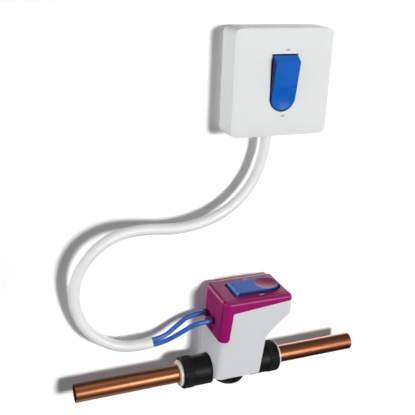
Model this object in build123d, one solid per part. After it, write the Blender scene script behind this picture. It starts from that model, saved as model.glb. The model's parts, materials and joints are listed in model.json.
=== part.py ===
from build123d import *
import math
import os

# Remote-controlled stopcock for a 15 mm copper pipe: a wall switch with two water pilots, a sleeve with two
# thin tubes, and a pilot-operated valve. All sizes are millimetres. The origin is the middle of the wall
# switch's back face; X runs along the pipe, Y into the wall and Z up.

os.makedirs("parts", exist_ok=True)

# Running clearances
FIT = 0.05            # radial gap of a shaft or plunger that slides or turns in its bore
SEAT_GAP = 0.1        # gap between two fixed mouldings that plug together
SEAM = 0.15           # visible seam between two shells
OVERCUT = 40.0        # how far a cutting shape reaches past the material

# Wall switch case
PLATE = 86.0          # width and height of the case
CASE_DEPTH = 25.4     # from the wall to the middle of the face
CORNER = 5.0          # corner radius seen from the front
TRAY_DEPTH = 8.0      # depth of the back tray
CASE_WALL = 2.0       # wall of cover and tray
FACE_THICK = 2.8      # thickness of the cover's face at its middle
RIM_SETBACK = 1.4     # how far the rim lies behind the middle of the face
BORDER = 3.8          # width of the bevelled border
BORDER_RISE = 0.7     # rise of the bevelled border
LIP_THICK = 1.2       # tongue of the tray inside the cover
LIP_LENGTH = 3.0
CLIP_WIDTH = 10.0     # snap hooks that hold the cover
CLIP_THICK = 1.6
CLIP_NIB = 0.8
CLIP_SIDE = 24.0      # hooks stand beside the sleeve
SCREW_PITCH = 60.3    # wall screw spacing
WALL_HOLE_R = 2.25     # hole for the wall screw
WALL_HEAD_R = 4.3      # countersink for its head
WALL_HEAD_SINK = 2.0
WALL_BOSS = 1.5        # thicker floor round the hole

# Rocker, the same moulding on switch and valve. Along the rocker: straight end positive, round end negative.
ROCK_WIDTH = 22.0
ROCK_STRAIGHT = 22.9  # pivot to straight end
ROCK_ROUND = 21.2     # pivot to tip of round end
ROCK_FACE = 8.7       # face above the pivot axis
ROCK_BEVEL = 3.6      # length of the bevel at the straight end
ROCK_BEVEL_FOOT = 1.4 # height of the bevel's foot above the pivot axis
ROCK_UNDER = 2.5      # underside below the pivot axis
ROCK_END_UNDER = 1.0  # underside at the two ends
ROCK_FLAT = 16.0      # half length of the flat underside
ROCK_SKIN = 1.8       # wall of the hollow rocker
ROCK_TILT = 9.2       # tilt each way, degrees
ROCK_GAP = 0.5        # gap between rocker and panel opening
PIVOT_DEPTH = 5.0     # pivot axis below the face of the wall switch
HOOD_PIVOT_DEPTH = 6.5  # pivot axis below the hood's top
DISH_R = 10.0         # rim radius of the finger dish
PAD_MARGIN = 0.4      # rim of the dish that the coloured pad leaves free
DISH_DEPTH = 1.0
PAD_THICK = 0.6       # coloured pad in the valve rocker's dish
PIN_R = 1.5
EAR_THICK = 3.0
EAR_GAP = 0.9         # gap between rocker and ear
EAR_HALF = 4.0        # half length of the ear along the rocker
EAR_DROP = 3.5        # ear below the pivot axis

# Pilot plungers under each rocker
PLUNGE_OFFSET = 13.0  # plunger axis from the pivot
PLUNGE_R = 2.95
PLUNGE_LENGTH = 7.8
PLUNGE_DOME = 8.0     # radius of the domed tip
PLUNGE_PLAY = 0.25    # gap between tip and rocker
BLOCK_TOP = 5.8       # top of the pilot block below the pivot axis
BLOCK_FLOOR = 1.0     # floor of the plunger bores in the wall switch
MANIFOLD_FLOOR = 2.5  # floor of the plunger bores in the valve
RING_DOWN = 5.9       # middle of the plunger seal below the tip
RING_R = 2.3
RING_WIRE = 0.68
SPRING_R = 2.1
SPRING_WIRE = 0.3
SPRING_TURNS = 4
DRILL_R = 0.8         # water channels
BLOCK_BACK = CASE_WALL + 1.0  # posts that carry the pilot block off the tray's floor
BLOCK_POST_R = 3.0
BLOCK_SCREW_R = 1.4
BLOCK_HALF_X = 11.0
BLOCK_HALF_Z = 18.0
BLOCK_EAR = 6.0
BLOCK_EAR_THICK = 3.0

# Push-in ports for the blue tubes
TUBE_R = 2.0
TUBE_BORE_R = 1.25
PORT_SEAL_WIRE = 0.7
COLLET_R = 2.9
COLLET_HEAD_R = 3.4
COLLET_HEAD = 2.2
COLLET_LENGTH = 8.0
COLLET_TRAVEL = 0.5
PORT_WALL = 1.2
HEAD_GAP = 0.5        # gap between the two collet heads in the switch
SWITCH_PORT_END = 29.0  # lower end of the switch's port bosses, below the middle of the case
COLLET_SHOW = 0.6     # gap under the collet's head

# Sleeve
SLEEVE_R = 4.5
SLEEVE_X = -4.0
SLEEVE_Y = -9.0
GLAND_WALL = 0.6
GLAND_FLANGE_R = 7.0
GLAND_FLANGE = 2.0
GLAND_MOUTH_R = 6.0   # bell mouth inside the case
TAIL_BEND = 8.0       # bend radius of the tube ends inside the case

# Copper pipe and valve position
PIPE_R = 7.5
PIPE_WALL = 0.7
VALVE_X = -44.0
PIPE_Y = -45.4
PIPE_Z = -239.0
LEFT_PIPE_END = 134.2  # from the middle of the valve body
RIGHT_PIPE_END = 120.8

# Valve body, distances along the pipe from the middle of the body
CHAMBER_R = 14.0
CHAMBER_BOTTOM = 14.0  # below the pipe axis
CHAMBER_ROUND = 6.0
CHAMBER_BORE_R = 11.0
CHAMBER_FLOOR = 8.0    # above the pipe axis
CHAMBER_TOP = 24.0
FLANGE_R = 15.5
FLANGE_THICK = 4.0
NECK_R = 10.0
SHOULDER_R = 13.0
SHOULDER_START = 19.0
SHOULDER_END = 34.5
SHOULDER_GAP = 0.4     # gap between a shoulder and the casing's arch
SPIGOT_R = 11.3
SPIGOT_END = 40.0
PIPE_STOP = 22.0       # the pipe's inner end
PIPE_MARK = 0.5        # insertion mark on the pipe, beyond the collar
PIPE_MARK_WIDTH = 0.8
PIPE_MARK_DEPTH = 0.2
SEAL_START = 27.0
WATER_R = 5.5
INLET_END = 9.0        # end of the inlet's water passage
POCKET_EDGE = 4.0      # where the inlet pocket ends beside the seat tower
BONNET_SCREW_R = 1.2

# Collar on each socket
CAP_R = 13.4
CAP_START = 34.8
CAP_END = 44.2
CAP_INNER = 40.3       # inner face of the cap's end wall
CAP_RIBS = 36
RIB_DEPTH = 0.45
COLLAR_R = 8.9
COLLAR_FLANGE_R = 11.0
COLLAR_FLANGE = 2.5
COLLET_OUT = CAP_END + COLLAR_FLANGE    # outer end of the pipe collet
COLLAR_START = 34.0
COLLAR_BEAD_R = 9.7
COLLAR_BEAD_START = 37.5
COLLAR_TRAVEL = 1.2
MOUTH_R = 11.2
MOUTH_DEPTH = 1.4
GRAB_THICK = 0.6
SPACER_THICK = 1.5
PIPE_SEAL_WIRE = 1.2

# Moving closure
PISTON_BOTTOM = 10.7
PISTON_TOP = 18.5
PISTON_LIFT = 4.5
PISTON_WALL = 2.5
PISTON_FLOOR = 13.2
SEAL_HEIGHT = 2.2
WASHER_R = 7.4
SEAT_R = 7.2
SEAT_TOP = 9.6
WASHER_SCREW_R = 3.2
BONNET_THICK = 4.0
MAIN_SPRING_R = 6.6
MAIN_SPRING_WIRE = 0.9
MAIN_SPRING_TURNS = 5
NIPPLE_R = 2.5
NIPPLE_X = 4.0
NIPPLE_SPREAD = 6.5
NIPPLE_RISE = 10.0
RISER_WALL = 1.2

# Casing and hood. Heights are above the pipe axis, lengths along the pipe from the middle of the body.
VALVE_TOP = 71.5
CASING_BOTTOM = -0.9
LEFT_TOP = -15.1
LEFT_BOTTOM = -19.9
RIGHT_TOP = 46.2
RIGHT_BOTTOM = 21.0
OVERHANG_Z = 52.0      # lower corner of the overhang
WAIST_X = 24.2         # where the concave curve meets the lower casing
WAIST_Z = 31.0
CURVE_SAG = 1.4        # how hollow the curve is
HALF_TOP = 21.8        # half depth across the pipe at the top
CASING_TAPER = 2.3
HALF_BOTTOM = HALF_TOP - CASING_TAPER
VALVE_EDGE = 1.3       # rounding of the overhang's lower edges and of the right side below it
TOP_EDGE = 3.0         # rounding of the hood's top
RIGHT_ROUND = 3.5      # upright edges of the overhang
LEFT_ROUND = 6.0       # upright edges of the left face
LEAST_ROUND = 0.3      # what an inner shape keeps of these
TIP_ROUND = 2.5        # lower corner of the overhang
GROOVE_Y = 17.0        # groove that sets off the hood's front edge, from the pipe axis to the front
GROOVE_WIDTH = 1.0
GROOVE_DEPTH = 0.5
SHELL = 2.0            # wall of the casing
HOOD_SHELL = 3.3       # wall of the hood with its inner tongue
HOOD_LIP = 3.0         # how far the tongue reaches below the split
FOOT_HALF = HALF_BOTTOM - SHELL - 0.9   # square flange of the body that carries the casing
FOOT_BOTTOM = 2.0
FOOT_THICK = 3.5
FOOT_SCREW = FOOT_HALF - 3.2
FOOT_SCREW_R = 1.3
FOOT_BOSS_HALF = 3.0   # bosses of the casing that take its screws
FOOT_BOSS_HEIGHT = 10.0
BAND_LEFT_Z = 61.4     # lower edge of the band at the inner corner
BAND_RIGHT_Z = 66.4
BAR_TOP_X = -7.3       # inner edge of the upright bar
BAR_BOTTOM_X = -9.8
BAR_BOTTOM_Z = 34.9
ROCKER_X = 20.7        # pivot of the valve rocker from the middle of the body
RECESS_TOP = 50.0
RECESS_FRONT = -6.0    # across the pipe from its axis
RECESS_DEPTH = 2.0
RECESS_BOTTOM = 37.5
PORT_Z = 46.4
PORT_BACK_Y = HALF_TOP - 7.8   # upper tube, from the pipe axis towards the wall
PORT_FRONT_Y = -1.2
PORT_MOUTH = -18.4     # outer face of the tube collets
POST_R = 2.8           # posts that carry the manifold
POST_Y = HALF_TOP - HOOD_SHELL - POST_R - 0.5
POST_LEFT = -3.0
POST_RIGHT = 33.0
HOOD_SCREW_R = 1.2
MANIFOLD_BOTTOM = 47.6
MANIFOLD_TOP = VALVE_TOP - HOOD_PIVOT_DEPTH - BLOCK_TOP
MANIFOLD_PLATE = 3.0
MANIFOLD_HALF = 9.0
MANIFOLD_LEFT = -11.6
MANIFOLD_RIGHT = 38.0
MANIFOLD_CHAMFER = 2.0
PORT_BLOCK_RIGHT = -2.0
PORT_BLOCK_BACK = HALF_TOP - 4.6
CHANNEL_X = -4.0       # upright channels of the two ports
CHANNEL_Y = 4.4        # channel that passes beside the near plunger
CHANNEL_Z = MANIFOLD_BOTTOM + MANIFOLD_FLOOR + 1.0

# Points of the sleeve and of the two tubes beyond it, chosen along their route
SLEEVE_ROUTE = [
    (SLEEVE_X, SLEEVE_Y, -PLATE / 2),
    (-4, -9, -58),
    (-12, -10.5, -83),
    (-29, -12.5, -103),
    (-54, -15, -115.5),
    (-84, -17.5, -119),
    (-109, -20, -114.5),
    (-134, -23, -114),
    (-156, -26.5, -124),
    (-171, -29.5, -142),
    (-175, -32.5, -165),
    (-167, -35.5, -188),
    (-148.5, -38, -203.8),
    (-129, -40, -209.2),
    (-112, -40.8, -207.3),
]
PORT_PLANE = VALVE_X + PORT_MOUTH
BACK_PORT = (PORT_PLANE, PIPE_Y + PORT_BACK_Y, PIPE_Z + PORT_Z)
FRONT_PORT = (PORT_PLANE, PIPE_Y + PORT_FRONT_Y, PIPE_Z + PORT_Z)
BACK_TUBE_ROUTE = [
    (-112.05, -39.3, -205.9),
    (-101.9, -39.8, -204.8),
    (-90, -36.2, -198.9),
    (-76, *BACK_PORT[1:]),
    BACK_PORT,
]
FRONT_TUBE_ROUTE = [
    (-111.9, -42.3, -208.7),
    (-101.8, -42.8, -207.6),
    (-90, -44.3, -201.4),
    (-76, *FRONT_PORT[1:]),
    FRONT_PORT,
]

# Places that several pieces share
CASE_PIVOT = (0.0, -(CASE_DEPTH - PIVOT_DEPTH), 0.0)
HOOD_PIVOT = (VALVE_X + ROCKER_X, PIPE_Y, PIPE_Z + VALVE_TOP - HOOD_PIVOT_DEPTH)
SWITCH_BORE = CASE_DEPTH - PIVOT_DEPTH - BLOCK_BACK - BLOCK_FLOOR   # bottom of the bores below the pivot
VALVE_BORE = VALVE_TOP - HOOD_PIVOT_DEPTH - MANIFOLD_BOTTOM - MANIFOLD_FLOOR
TILT = math.radians(ROCK_TILT)
PLUNGE_RATIO = PLUNGE_OFFSET            # millimetres of plunger travel per radian of rocker
PLUNGE_TRAVEL = PLUNGE_RATIO * 2 * TILT
UNDER_HIGH = PLUNGE_OFFSET * math.tan(TILT) - ROCK_UNDER / math.cos(TILT)
TIP_OUT = UNDER_HIGH - PLUNGE_PLAY      # plunger tip when its end of the rocker is out
TIP_IN = TIP_OUT - PLUNGE_TRAVEL
TIP_LEVEL = -ROCK_UNDER - PLUNGE_PLAY   # plunger tip under a level rocker


# Helpers

def prism_y(outline, back, front):
    """Outline in X and Z, drawn out from y = back towards the viewer to y = front."""
    return extrude(Plane.XZ.offset(-back) * outline, amount=back - front)


def prism_x(outline, start, end):
    """Outline in Y and Z, drawn out along X."""
    return extrude(Plane.YZ.offset(start) * outline, amount=end - start)


def block(x_range, y_range, z_range):
    """Box between two limits on each axis."""
    size = [high - low for low, high in (x_range, y_range, z_range)]
    middle = [(high + low) / 2 for low, high in (x_range, y_range, z_range)]
    return Pos(*middle) * Box(*size)


def rod_x(radius, start, end, y, z):
    return Pos((start + end) / 2, y, z) * Rot(0, 90, 0) * Cylinder(radius, abs(end - start))


def rod_y(radius, start, end, x, z):
    return Pos(x, (start + end) / 2, z) * Rot(90, 0, 0) * Cylinder(radius, abs(end - start))


def rod_z(radius, start, end, x, y):
    return Pos(x, y, (start + end) / 2) * Cylinder(radius, abs(end - start))


def helix_path(radius, height, turns):
    """Helix up Z from z = 0, one pair of tangent arcs for each quarter turn."""
    steps = turns * 4
    rise = height / steps
    slope = math.atan2(rise, radius * math.pi / 2)

    def station(index):
        angle = index * math.pi / 2
        place = Vector(radius * math.cos(angle), radius * math.sin(angle), index * rise)
        flat = math.cos(slope)
        return place, Vector(-math.sin(angle) * flat, math.cos(angle) * flat, math.sin(slope))

    edges = []
    for index in range(steps):
        start, start_dir = station(index)
        end, end_dir = station(index + 1)
        span = end - start
        both = start_dir + end_dir
        spread = 2 * (1 - start_dir.dot(end_dir))
        reach = (-span.dot(both) + math.sqrt(span.dot(both) ** 2 + spread * span.dot(span))) / spread
        middle = (start + end + (start_dir - end_dir) * reach) * 0.5
        edges.append(Edge.make_tangent_arc(start, start_dir, middle))
        turn = Edge.make_tangent_arc(end, end_dir * -1, middle)
        edges.append(turn)
    return Wire(edges)


def coil_spring(radius, wire, length, turns):
    """Compression spring up Z from z = 0, with its wire inside the length."""
    path = Pos(0, 0, wire / 2) * helix_path(radius, length - wire, turns)
    section = Plane(origin=path.position_at(0), z_dir=path.tangent_at(0)) * Circle(wire / 2)
    return sweep(section, path=path)


def cord_tube(name, route, radius):
    """Round tube along straight runs that large arcs join."""
    points = [Vector(*point) for point in route]
    radii = []
    for before, corner, after in zip(points, points[1:], points[2:]):
        run_in = corner - before
        run_out = after - corner
        half_turn = math.radians(run_in.get_angle(run_out)) / 2
        radii.append(0.45 * min(run_in.length, run_out.length) / math.tan(half_turn))
    path = FilletPolyline(*points, radius=radii)
    section = Plane(origin=points[0], z_dir=points[1] - points[0]) * Circle(radius)
    tube = sweep(section, path=path)
    expected = math.pi * radius ** 2 * path.length
    print(name, "length", round(path.length, 1), "least radius", round(min(radii), 1),
          "volume ratio", round(tube.volume / expected, 4))
    return tube


def save(name, *solids):
    """Write one node; several solids make a group."""
    shape = solids[0] if len(solids) == 1 else Compound(children=list(solids))
    export_step(shape, f"parts/{name}.step")


# Frames of the two rockers: local x along the rocker to its straight end, local z out of the panel
CASE_FRAME = Plane(origin=CASE_PIVOT, x_dir=(0, 0, 1), z_dir=(0, -1, 0))
HOOD_FRAME = Plane(origin=HOOD_PIVOT, x_dir=(-1, 0, 0), z_dir=(0, 0, 1))


# Rocker and what it works, drawn about the pivot

def rocker_outline():
    """Plan of the rocker: straight at one end, round at the other."""
    half = ROCK_WIDTH / 2
    round_middle = -(ROCK_ROUND - ROCK_WIDTH / 2)
    straight = ROCK_STRAIGHT
    body = Pos((straight + round_middle) / 2, 0) * Rectangle(straight - round_middle, 2 * half)
    return body + Pos(round_middle, 0) * Circle(half)


def rocker_opening():
    """Plan of the panel's opening; the round end swings outwards as it goes down."""
    half = ROCK_WIDTH / 2 + ROCK_GAP
    swing = ROCK_FACE * math.sin(TILT) - ROCK_ROUND * (1 - math.cos(TILT))
    round_middle = -(ROCK_ROUND + swing + ROCK_GAP - half)
    straight = ROCK_STRAIGHT + ROCK_GAP
    body = Pos((straight + round_middle) / 2, 0) * Rectangle(straight - round_middle, 2 * half)
    return body + Pos(round_middle, 0) * Circle(half)


def dish_ball(depth_extra):
    """Ball that hollows the finger dish, let in by a further depth."""
    ball_r = (DISH_R ** 2 + DISH_DEPTH ** 2) / (2 * DISH_DEPTH)
    middle = -(ROCK_ROUND - ROCK_WIDTH / 2)
    return Pos(middle, 0, ROCK_FACE + ball_r - DISH_DEPTH - depth_extra) * Sphere(ball_r)


def rocker_body():
    face_end = ROCK_STRAIGHT - ROCK_BEVEL
    side = Polygon(
        (ROCK_STRAIGHT, ROCK_BEVEL_FOOT),
        (face_end, ROCK_FACE),
        (-ROCK_ROUND - 1, ROCK_FACE),
        (-ROCK_ROUND - 1, -ROCK_END_UNDER),
        (-ROCK_FLAT, -ROCK_UNDER),
        (ROCK_FLAT, -ROCK_UNDER),
        (ROCK_STRAIGHT, -ROCK_END_UNDER),
        align=None,
    )
    wedge = extrude(Plane.XZ * side, amount=ROCK_WIDTH / 2, both=True)
    plan = extrude(Plane.XY.offset(-ROCK_FACE) * rocker_outline(), amount=3 * ROCK_FACE)
    body = wedge & plan
    top = body.faces().filter_by(Axis.Z).sort_by(Axis.Z)[-1]
    body = fillet(top.edges(), 0.7)
    body -= dish_ball(0)
    boss = PIN_R + ROCK_SKIN
    rib = 2.2
    far = ROCK_STRAIGHT - ROCK_BEVEL - ROCK_SKIN
    for low, high in ((boss, PLUNGE_OFFSET - rib), (PLUNGE_OFFSET + rib, far)):
        inner = ROCK_WIDTH - 2 * ROCK_SKIN
        hollow_top = ROCK_FACE - ROCK_SKIN
        body -= block((low, high), (-inner / 2, inner / 2), (-ROCK_UNDER - 1, hollow_top))
    dished_top = hollow_top - DISH_DEPTH
    narrow = ROCK_WIDTH / 2 - ROCK_SKIN
    body -= block((-PLUNGE_OFFSET + rib, -boss), (-narrow, narrow), (-ROCK_UNDER - 1, dished_top))
    body -= block((-ROCK_ROUND + 2.2 * ROCK_SKIN, -PLUNGE_OFFSET - rib), (-narrow / 2, narrow / 2),
                  (-ROCK_UNDER - 1, dished_top))
    return body - Rot(90, 0, 0) * Cylinder(PIN_R + FIT, ROCK_WIDTH + 2)


def rocker_pad():
    """Thin pad that fills a second, deeper hollow in the dish."""
    shell = dish_ball(PAD_THICK) - dish_ball(0)
    middle = -(ROCK_ROUND - ROCK_WIDTH / 2)
    inside = Pos(middle, 0, ROCK_FACE) * Cylinder(DISH_R - PAD_MARGIN, 4 * DISH_DEPTH)
    return shell & inside


def rocker_with_pad():
    """The valve's rocker with the hollow that its pad fills."""
    return rocker_body() - rocker_pad()


def tilted(shape, degrees):
    """Turn about the pivot so that the straight end rises by this angle."""
    return Rot(0, -degrees, 0) * shape


def rocker_pin():
    half = ROCK_WIDTH / 2 + EAR_GAP + EAR_THICK
    return Rot(90, 0, 0) * Cylinder(PIN_R, 2 * half)


def rocker_ears(panel_inner):
    """Two ears below the panel that hold the pin; panel_inner is the panel's inner face above the pivot."""
    start = ROCK_WIDTH / 2 + EAR_GAP
    ears = []
    for low in (start, -start - EAR_THICK):
        ears.append(block((-EAR_HALF, EAR_HALF), (low, low + EAR_THICK), (-EAR_DROP, panel_inner + 0.5)))
    bore = Rot(90, 0, 0) * Cylinder(PIN_R, ROCK_WIDTH + 4 * EAR_THICK)
    return [ear - bore for ear in ears]


def plunger(tip, side):
    """Plunger at one side of the pivot with its tip at this height."""
    stem = Pos(0, 0, -PLUNGE_LENGTH / 2) * Cylinder(PLUNGE_R, PLUNGE_LENGTH)
    below = Pos(0, 0, -PLUNGE_LENGTH / 2 - 2) * Cylinder(PLUNGE_R + 1, PLUNGE_LENGTH)
    stem &= Pos(0, 0, -PLUNGE_DOME) * Sphere(PLUNGE_DOME) + below
    stem -= Pos(0, 0, -RING_DOWN) * Torus(RING_R, RING_WIRE + 0.02)
    return Pos(side * PLUNGE_OFFSET, 0, tip) * stem


def plunger_ring(tip, side):
    return Pos(side * PLUNGE_OFFSET, 0, tip - RING_DOWN) * Torus(RING_R, RING_WIRE)


def plunger_spring(tip, side, depth):
    """Spring from the bottom of the bore, at this depth below the pivot, up to the plunger."""
    length = depth + tip - PLUNGE_LENGTH
    spring = coil_spring(SPRING_R, SPRING_WIRE, length, SPRING_TURNS)
    return Pos(side * PLUNGE_OFFSET, 0, -depth) * spring


def plunger_bores(depth):
    """Bores of both plungers, open at the block's top."""
    top = 1 - BLOCK_TOP
    bore = Pos(0, 0, (top - depth) / 2) * Cylinder(PLUNGE_R + FIT, top + depth)
    return [Pos(side * PLUNGE_OFFSET, 0, 0) * bore for side in (1, -1)]


# Wall switch

def case_plan(inset):
    return RectangleRounded(PLATE - 2 * inset, PLATE - 2 * inset, CORNER - min(inset, CORNER - 1.5))


def lip_inset():
    return CASE_WALL + SEAT_GAP


def sleeve_hole():
    return rod_z(SLEEVE_R + GLAND_WALL + SEAT_GAP, -PLATE / 2 - 1, -PLATE / 2 + CASE_WALL + LIP_THICK + 2,
                 SLEEVE_X, SLEEVE_Y)


def clip_hook(sign):
    """Snap hook on the tray behind the top or bottom wall of the cover."""
    outer = PLATE / 2 - lip_inset() - LIP_THICK
    nib_start = TRAY_DEPTH + LIP_LENGTH + 2.4
    end = nib_start + 1.8
    wide = (-CLIP_WIDTH / 2, CLIP_WIDTH / 2)
    arm = block(wide, (-end, -CASE_WALL), (outer - CLIP_THICK, outer))
    nib = block(wide, (-end, -nib_start), (outer - CLIP_THICK, outer + LIP_THICK - 0.2))
    hook = Pos(CLIP_SIDE, 0, 0) * (arm + nib)
    return hook if sign > 0 else mirror(hook, Plane.XY)


def clip_catch(sign):
    """Rib inside the cover that the hook's nib snaps over."""
    inner = PLATE / 2 - CASE_WALL
    reach = LIP_THICK + SEAT_GAP - 0.5
    start = TRAY_DEPTH + LIP_LENGTH + 0.4
    rib = block((-CLIP_WIDTH / 2, CLIP_WIDTH / 2), (-start - 1.7, -start), (inner - reach, inner + 0.5))
    rib = Pos(CLIP_SIDE, 0, 0) * rib
    return rib if sign > 0 else mirror(rib, Plane.XY)


def back_tray():
    tray = prism_y(case_plan(0), 0, -TRAY_DEPTH)
    tray += prism_y(case_plan(lip_inset()), 0, -TRAY_DEPTH - LIP_LENGTH)
    tray -= prism_y(case_plan(lip_inset() + LIP_THICK), -CASE_WALL, -TRAY_DEPTH - LIP_LENGTH - 1)
    for sign in (1, -1):
        tray += clip_hook(sign)
        hole_x = sign * SCREW_PITCH / 2
        tray += rod_y(WALL_HEAD_R + 1.8, -CASE_WALL - WALL_BOSS, -1, hole_x, 0)
        tray -= rod_y(WALL_HOLE_R, -TRAY_DEPTH, 1, hole_x, 0)
        tray -= Pos(hole_x, -CASE_WALL - WALL_BOSS + WALL_HEAD_SINK / 2, 0) * Rot(90, 0, 0) * Cone(
            WALL_HOLE_R, WALL_HEAD_R, WALL_HEAD_SINK)
    for x, z in block_screw_places():
        tray += rod_y(BLOCK_POST_R, -BLOCK_BACK, -1, x, z)
        tray -= rod_y(BLOCK_SCREW_R, -BLOCK_BACK - 1, -CASE_WALL + 0.8, x, z)
    return tray - sleeve_hole()


def block_screw_places():
    across = BLOCK_HALF_X + BLOCK_EAR / 2
    return [(across, 0.0), (-across, 0.0)]


def switch_cover():
    rim = CASE_DEPTH - RIM_SETBACK
    cover = prism_y(case_plan(0), -TRAY_DEPTH - SEAM, -rim)
    bevel_top = rim + BORDER_RISE
    inside = PLATE - 2 * BORDER
    outer_rim = Plane.XZ.offset(rim) * RectangleRounded(PLATE, PLATE, CORNER)
    inner_rim = Plane.XZ.offset(bevel_top) * RectangleRounded(inside, inside, CORNER - 2)
    flat = RectangleRounded(ROCK_WIDTH + 10, 2 * ROCK_STRAIGHT + 10, CORNER - 2)
    centre = Plane.XZ.offset(CASE_DEPTH) * flat
    cover += loft([outer_rim, inner_rim], ruled=True)
    cover += loft([inner_rim, centre], ruled=True)
    cover -= prism_y(case_plan(CASE_WALL), -TRAY_DEPTH + 1, -(CASE_DEPTH - FACE_THICK))
    opening = CASE_FRAME * Pos(0, 0, -2) * extrude(rocker_opening(), amount=PIVOT_DEPTH + 4)
    cover -= opening
    for ear in rocker_ears(PIVOT_DEPTH - FACE_THICK):
        cover += CASE_FRAME * ear
    for sign in (1, -1):
        cover += clip_catch(sign)
    return cover - sleeve_hole()


def port_boss_r():
    return COLLET_R + PORT_WALL


def switch_block():
    front = CASE_PIVOT[1] + BLOCK_TOP
    body = block((-BLOCK_HALF_X, BLOCK_HALF_X), (front, -BLOCK_BACK), (-BLOCK_HALF_Z, BLOCK_HALF_Z))
    body += block((-BLOCK_HALF_X - BLOCK_EAR, BLOCK_HALF_X + BLOCK_EAR),
                  (-BLOCK_BACK - BLOCK_EAR_THICK, -BLOCK_BACK), (-BLOCK_EAR / 2, BLOCK_EAR / 2))
    for cut in plunger_bores(SWITCH_BORE):
        body -= CASE_FRAME * cut
    for x, z in block_screw_places():
        body -= rod_y(BLOCK_SCREW_R + 0.2, -BLOCK_BACK - BLOCK_EAR_THICK - 1, 0, x, z)
    for x in switch_port_places():
        body += rod_z(port_boss_r(), -SWITCH_PORT_END, -BLOCK_HALF_Z + 1, x, SLEEVE_Y)
    for x in switch_port_places():
        body -= port_bore_down(x)
    return body


def switch_port_places():
    spread = COLLET_HEAD_R + HEAD_GAP / 2
    return [SLEEVE_X - spread, SLEEVE_X + spread]


def port_bore_down(x):
    """Stepped bore of one tube port of the switch, open downwards."""
    mouth = rod_z(COLLET_R + FIT, -SWITCH_PORT_END - 1, -SWITCH_PORT_END + COLLET_LENGTH, x, SLEEVE_Y)
    tube = rod_z(TUBE_R + FIT, -SWITCH_PORT_END, -SWITCH_PORT_END + COLLET_LENGTH + 3, x, SLEEVE_Y)
    bore_z = -PLUNGE_OFFSET if x > SLEEVE_X else PLUNGE_OFFSET
    drill = rod_z(DRILL_R, -SWITCH_PORT_END, bore_z, x, SLEEVE_Y)
    branch = rod_x(DRILL_R, x - DRILL_R, 0, SLEEVE_Y, bore_z)
    return mouth + tube + drill + branch


def switch_collet(x):
    top = -SWITCH_PORT_END + COLLET_LENGTH - PORT_SEAL_WIRE * 2 - 0.6 - COLLET_TRAVEL
    head_top = -SWITCH_PORT_END - COLLET_SHOW
    collet = rod_z(COLLET_R, head_top - COLLET_HEAD, top, x, SLEEVE_Y)
    collet += rod_z(COLLET_HEAD_R, head_top - COLLET_HEAD, head_top, x, SLEEVE_Y)
    return collet - rod_z(TUBE_R + FIT, head_top - COLLET_HEAD - 1, top + 1, x, SLEEVE_Y)


def switch_port_seal(x):
    z = -SWITCH_PORT_END + COLLET_LENGTH - PORT_SEAL_WIRE - 0.1
    ring_r = (TUBE_R + COLLET_R) / 2 + FIT
    return Pos(x, SLEEVE_Y, z) * Torus(ring_r, (COLLET_R - TUBE_R) / 2)


def switch_tube_tail(x, side):
    """Tube from its port down into the sleeve gland, with a gentle double bend."""
    top = -SWITCH_PORT_END + COLLET_LENGTH + 2.8
    bottom_x = SLEEVE_X + side * (TUBE_R + FIT)
    head = -SWITCH_PORT_END - COLLET_SHOW - COLLET_HEAD
    points = [
        (x, SLEEVE_Y, top),
        (x, SLEEVE_Y, head - 0.3),
        (bottom_x, SLEEVE_Y, -PLATE / 2 + CASE_WALL + LIP_THICK),
        (bottom_x, SLEEVE_Y, -PLATE / 2),
    ]
    path = FilletPolyline(*points, radius=TAIL_BEND)
    plane = Plane(origin=points[0], z_dir=(0, 0, -1))
    outer = sweep(plane * Circle(TUBE_R), path=path)
    inner = sweep(plane * Circle(TUBE_BORE_R), path=path)
    return outer - inner


def switch_block_screws():
    screws = []
    seat = -BLOCK_BACK - BLOCK_EAR_THICK
    for x, z in block_screw_places():
        head = rod_y(2.6, seat - 2, seat, x, z)
        shank = rod_y(BLOCK_SCREW_R, seat, -CASE_WALL + 0.8, x, z)
        slot = Pos(x, seat - 2, z) * (Box(2.8, 1.4, 0.7) + Box(0.7, 1.4, 2.8))
        screws.append(head + shank - slot)
    return screws


def sleeve_gland():
    """Ring in the lower wall of the case; the sleeve seats against it and the tubes pass through."""
    low = -PLATE / 2
    inner = low + CASE_WALL + LIP_THICK + 2 * SEAT_GAP
    ring = rod_z(SLEEVE_R + GLAND_WALL, low, inner + GLAND_FLANGE, SLEEVE_X, SLEEVE_Y)
    ring += rod_z(GLAND_FLANGE_R, inner, inner + GLAND_FLANGE, SLEEVE_X, SLEEVE_Y)
    neck = 2 * (TUBE_R + FIT)
    rise = GLAND_FLANGE + 0.6
    ring -= rod_z(neck, low - 1, inner + GLAND_FLANGE - rise / 2, SLEEVE_X, SLEEVE_Y)
    ring -= Pos(SLEEVE_X, SLEEVE_Y, inner + GLAND_FLANGE - rise / 2) * Cone(neck, GLAND_MOUTH_R, rise)
    wide = 2 * GLAND_FLANGE_R
    back = block((SLEEVE_X - wide, SLEEVE_X + wide), (-CASE_WALL, wide), (low - 1, low + PLATE / 4))
    return ring - back


# Valve body and what is in it

def side_x(side, distance):
    """Place along the pipe: side -1 is left, +1 is right."""
    return VALVE_X + side * distance


def along_pipe(side, radius, start, end):
    """Round bar on the pipe axis between two distances from the middle of the body."""
    return rod_x(radius, side_x(side, start), side_x(side, end), PIPE_Y, PIPE_Z)


def ring_at(side, outer, inner, start, end):
    """Ring round the pipe axis between two distances from the middle of the body."""
    return along_pipe(side, outer, start, end) - along_pipe(side, inner, start - 1, end + 1)


def up(height):
    return PIPE_Z + height


def foot_screw_places():
    return [(x, y) for x in (-FOOT_SCREW, FOOT_SCREW) for y in (-FOOT_SCREW, FOOT_SCREW)]


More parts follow.
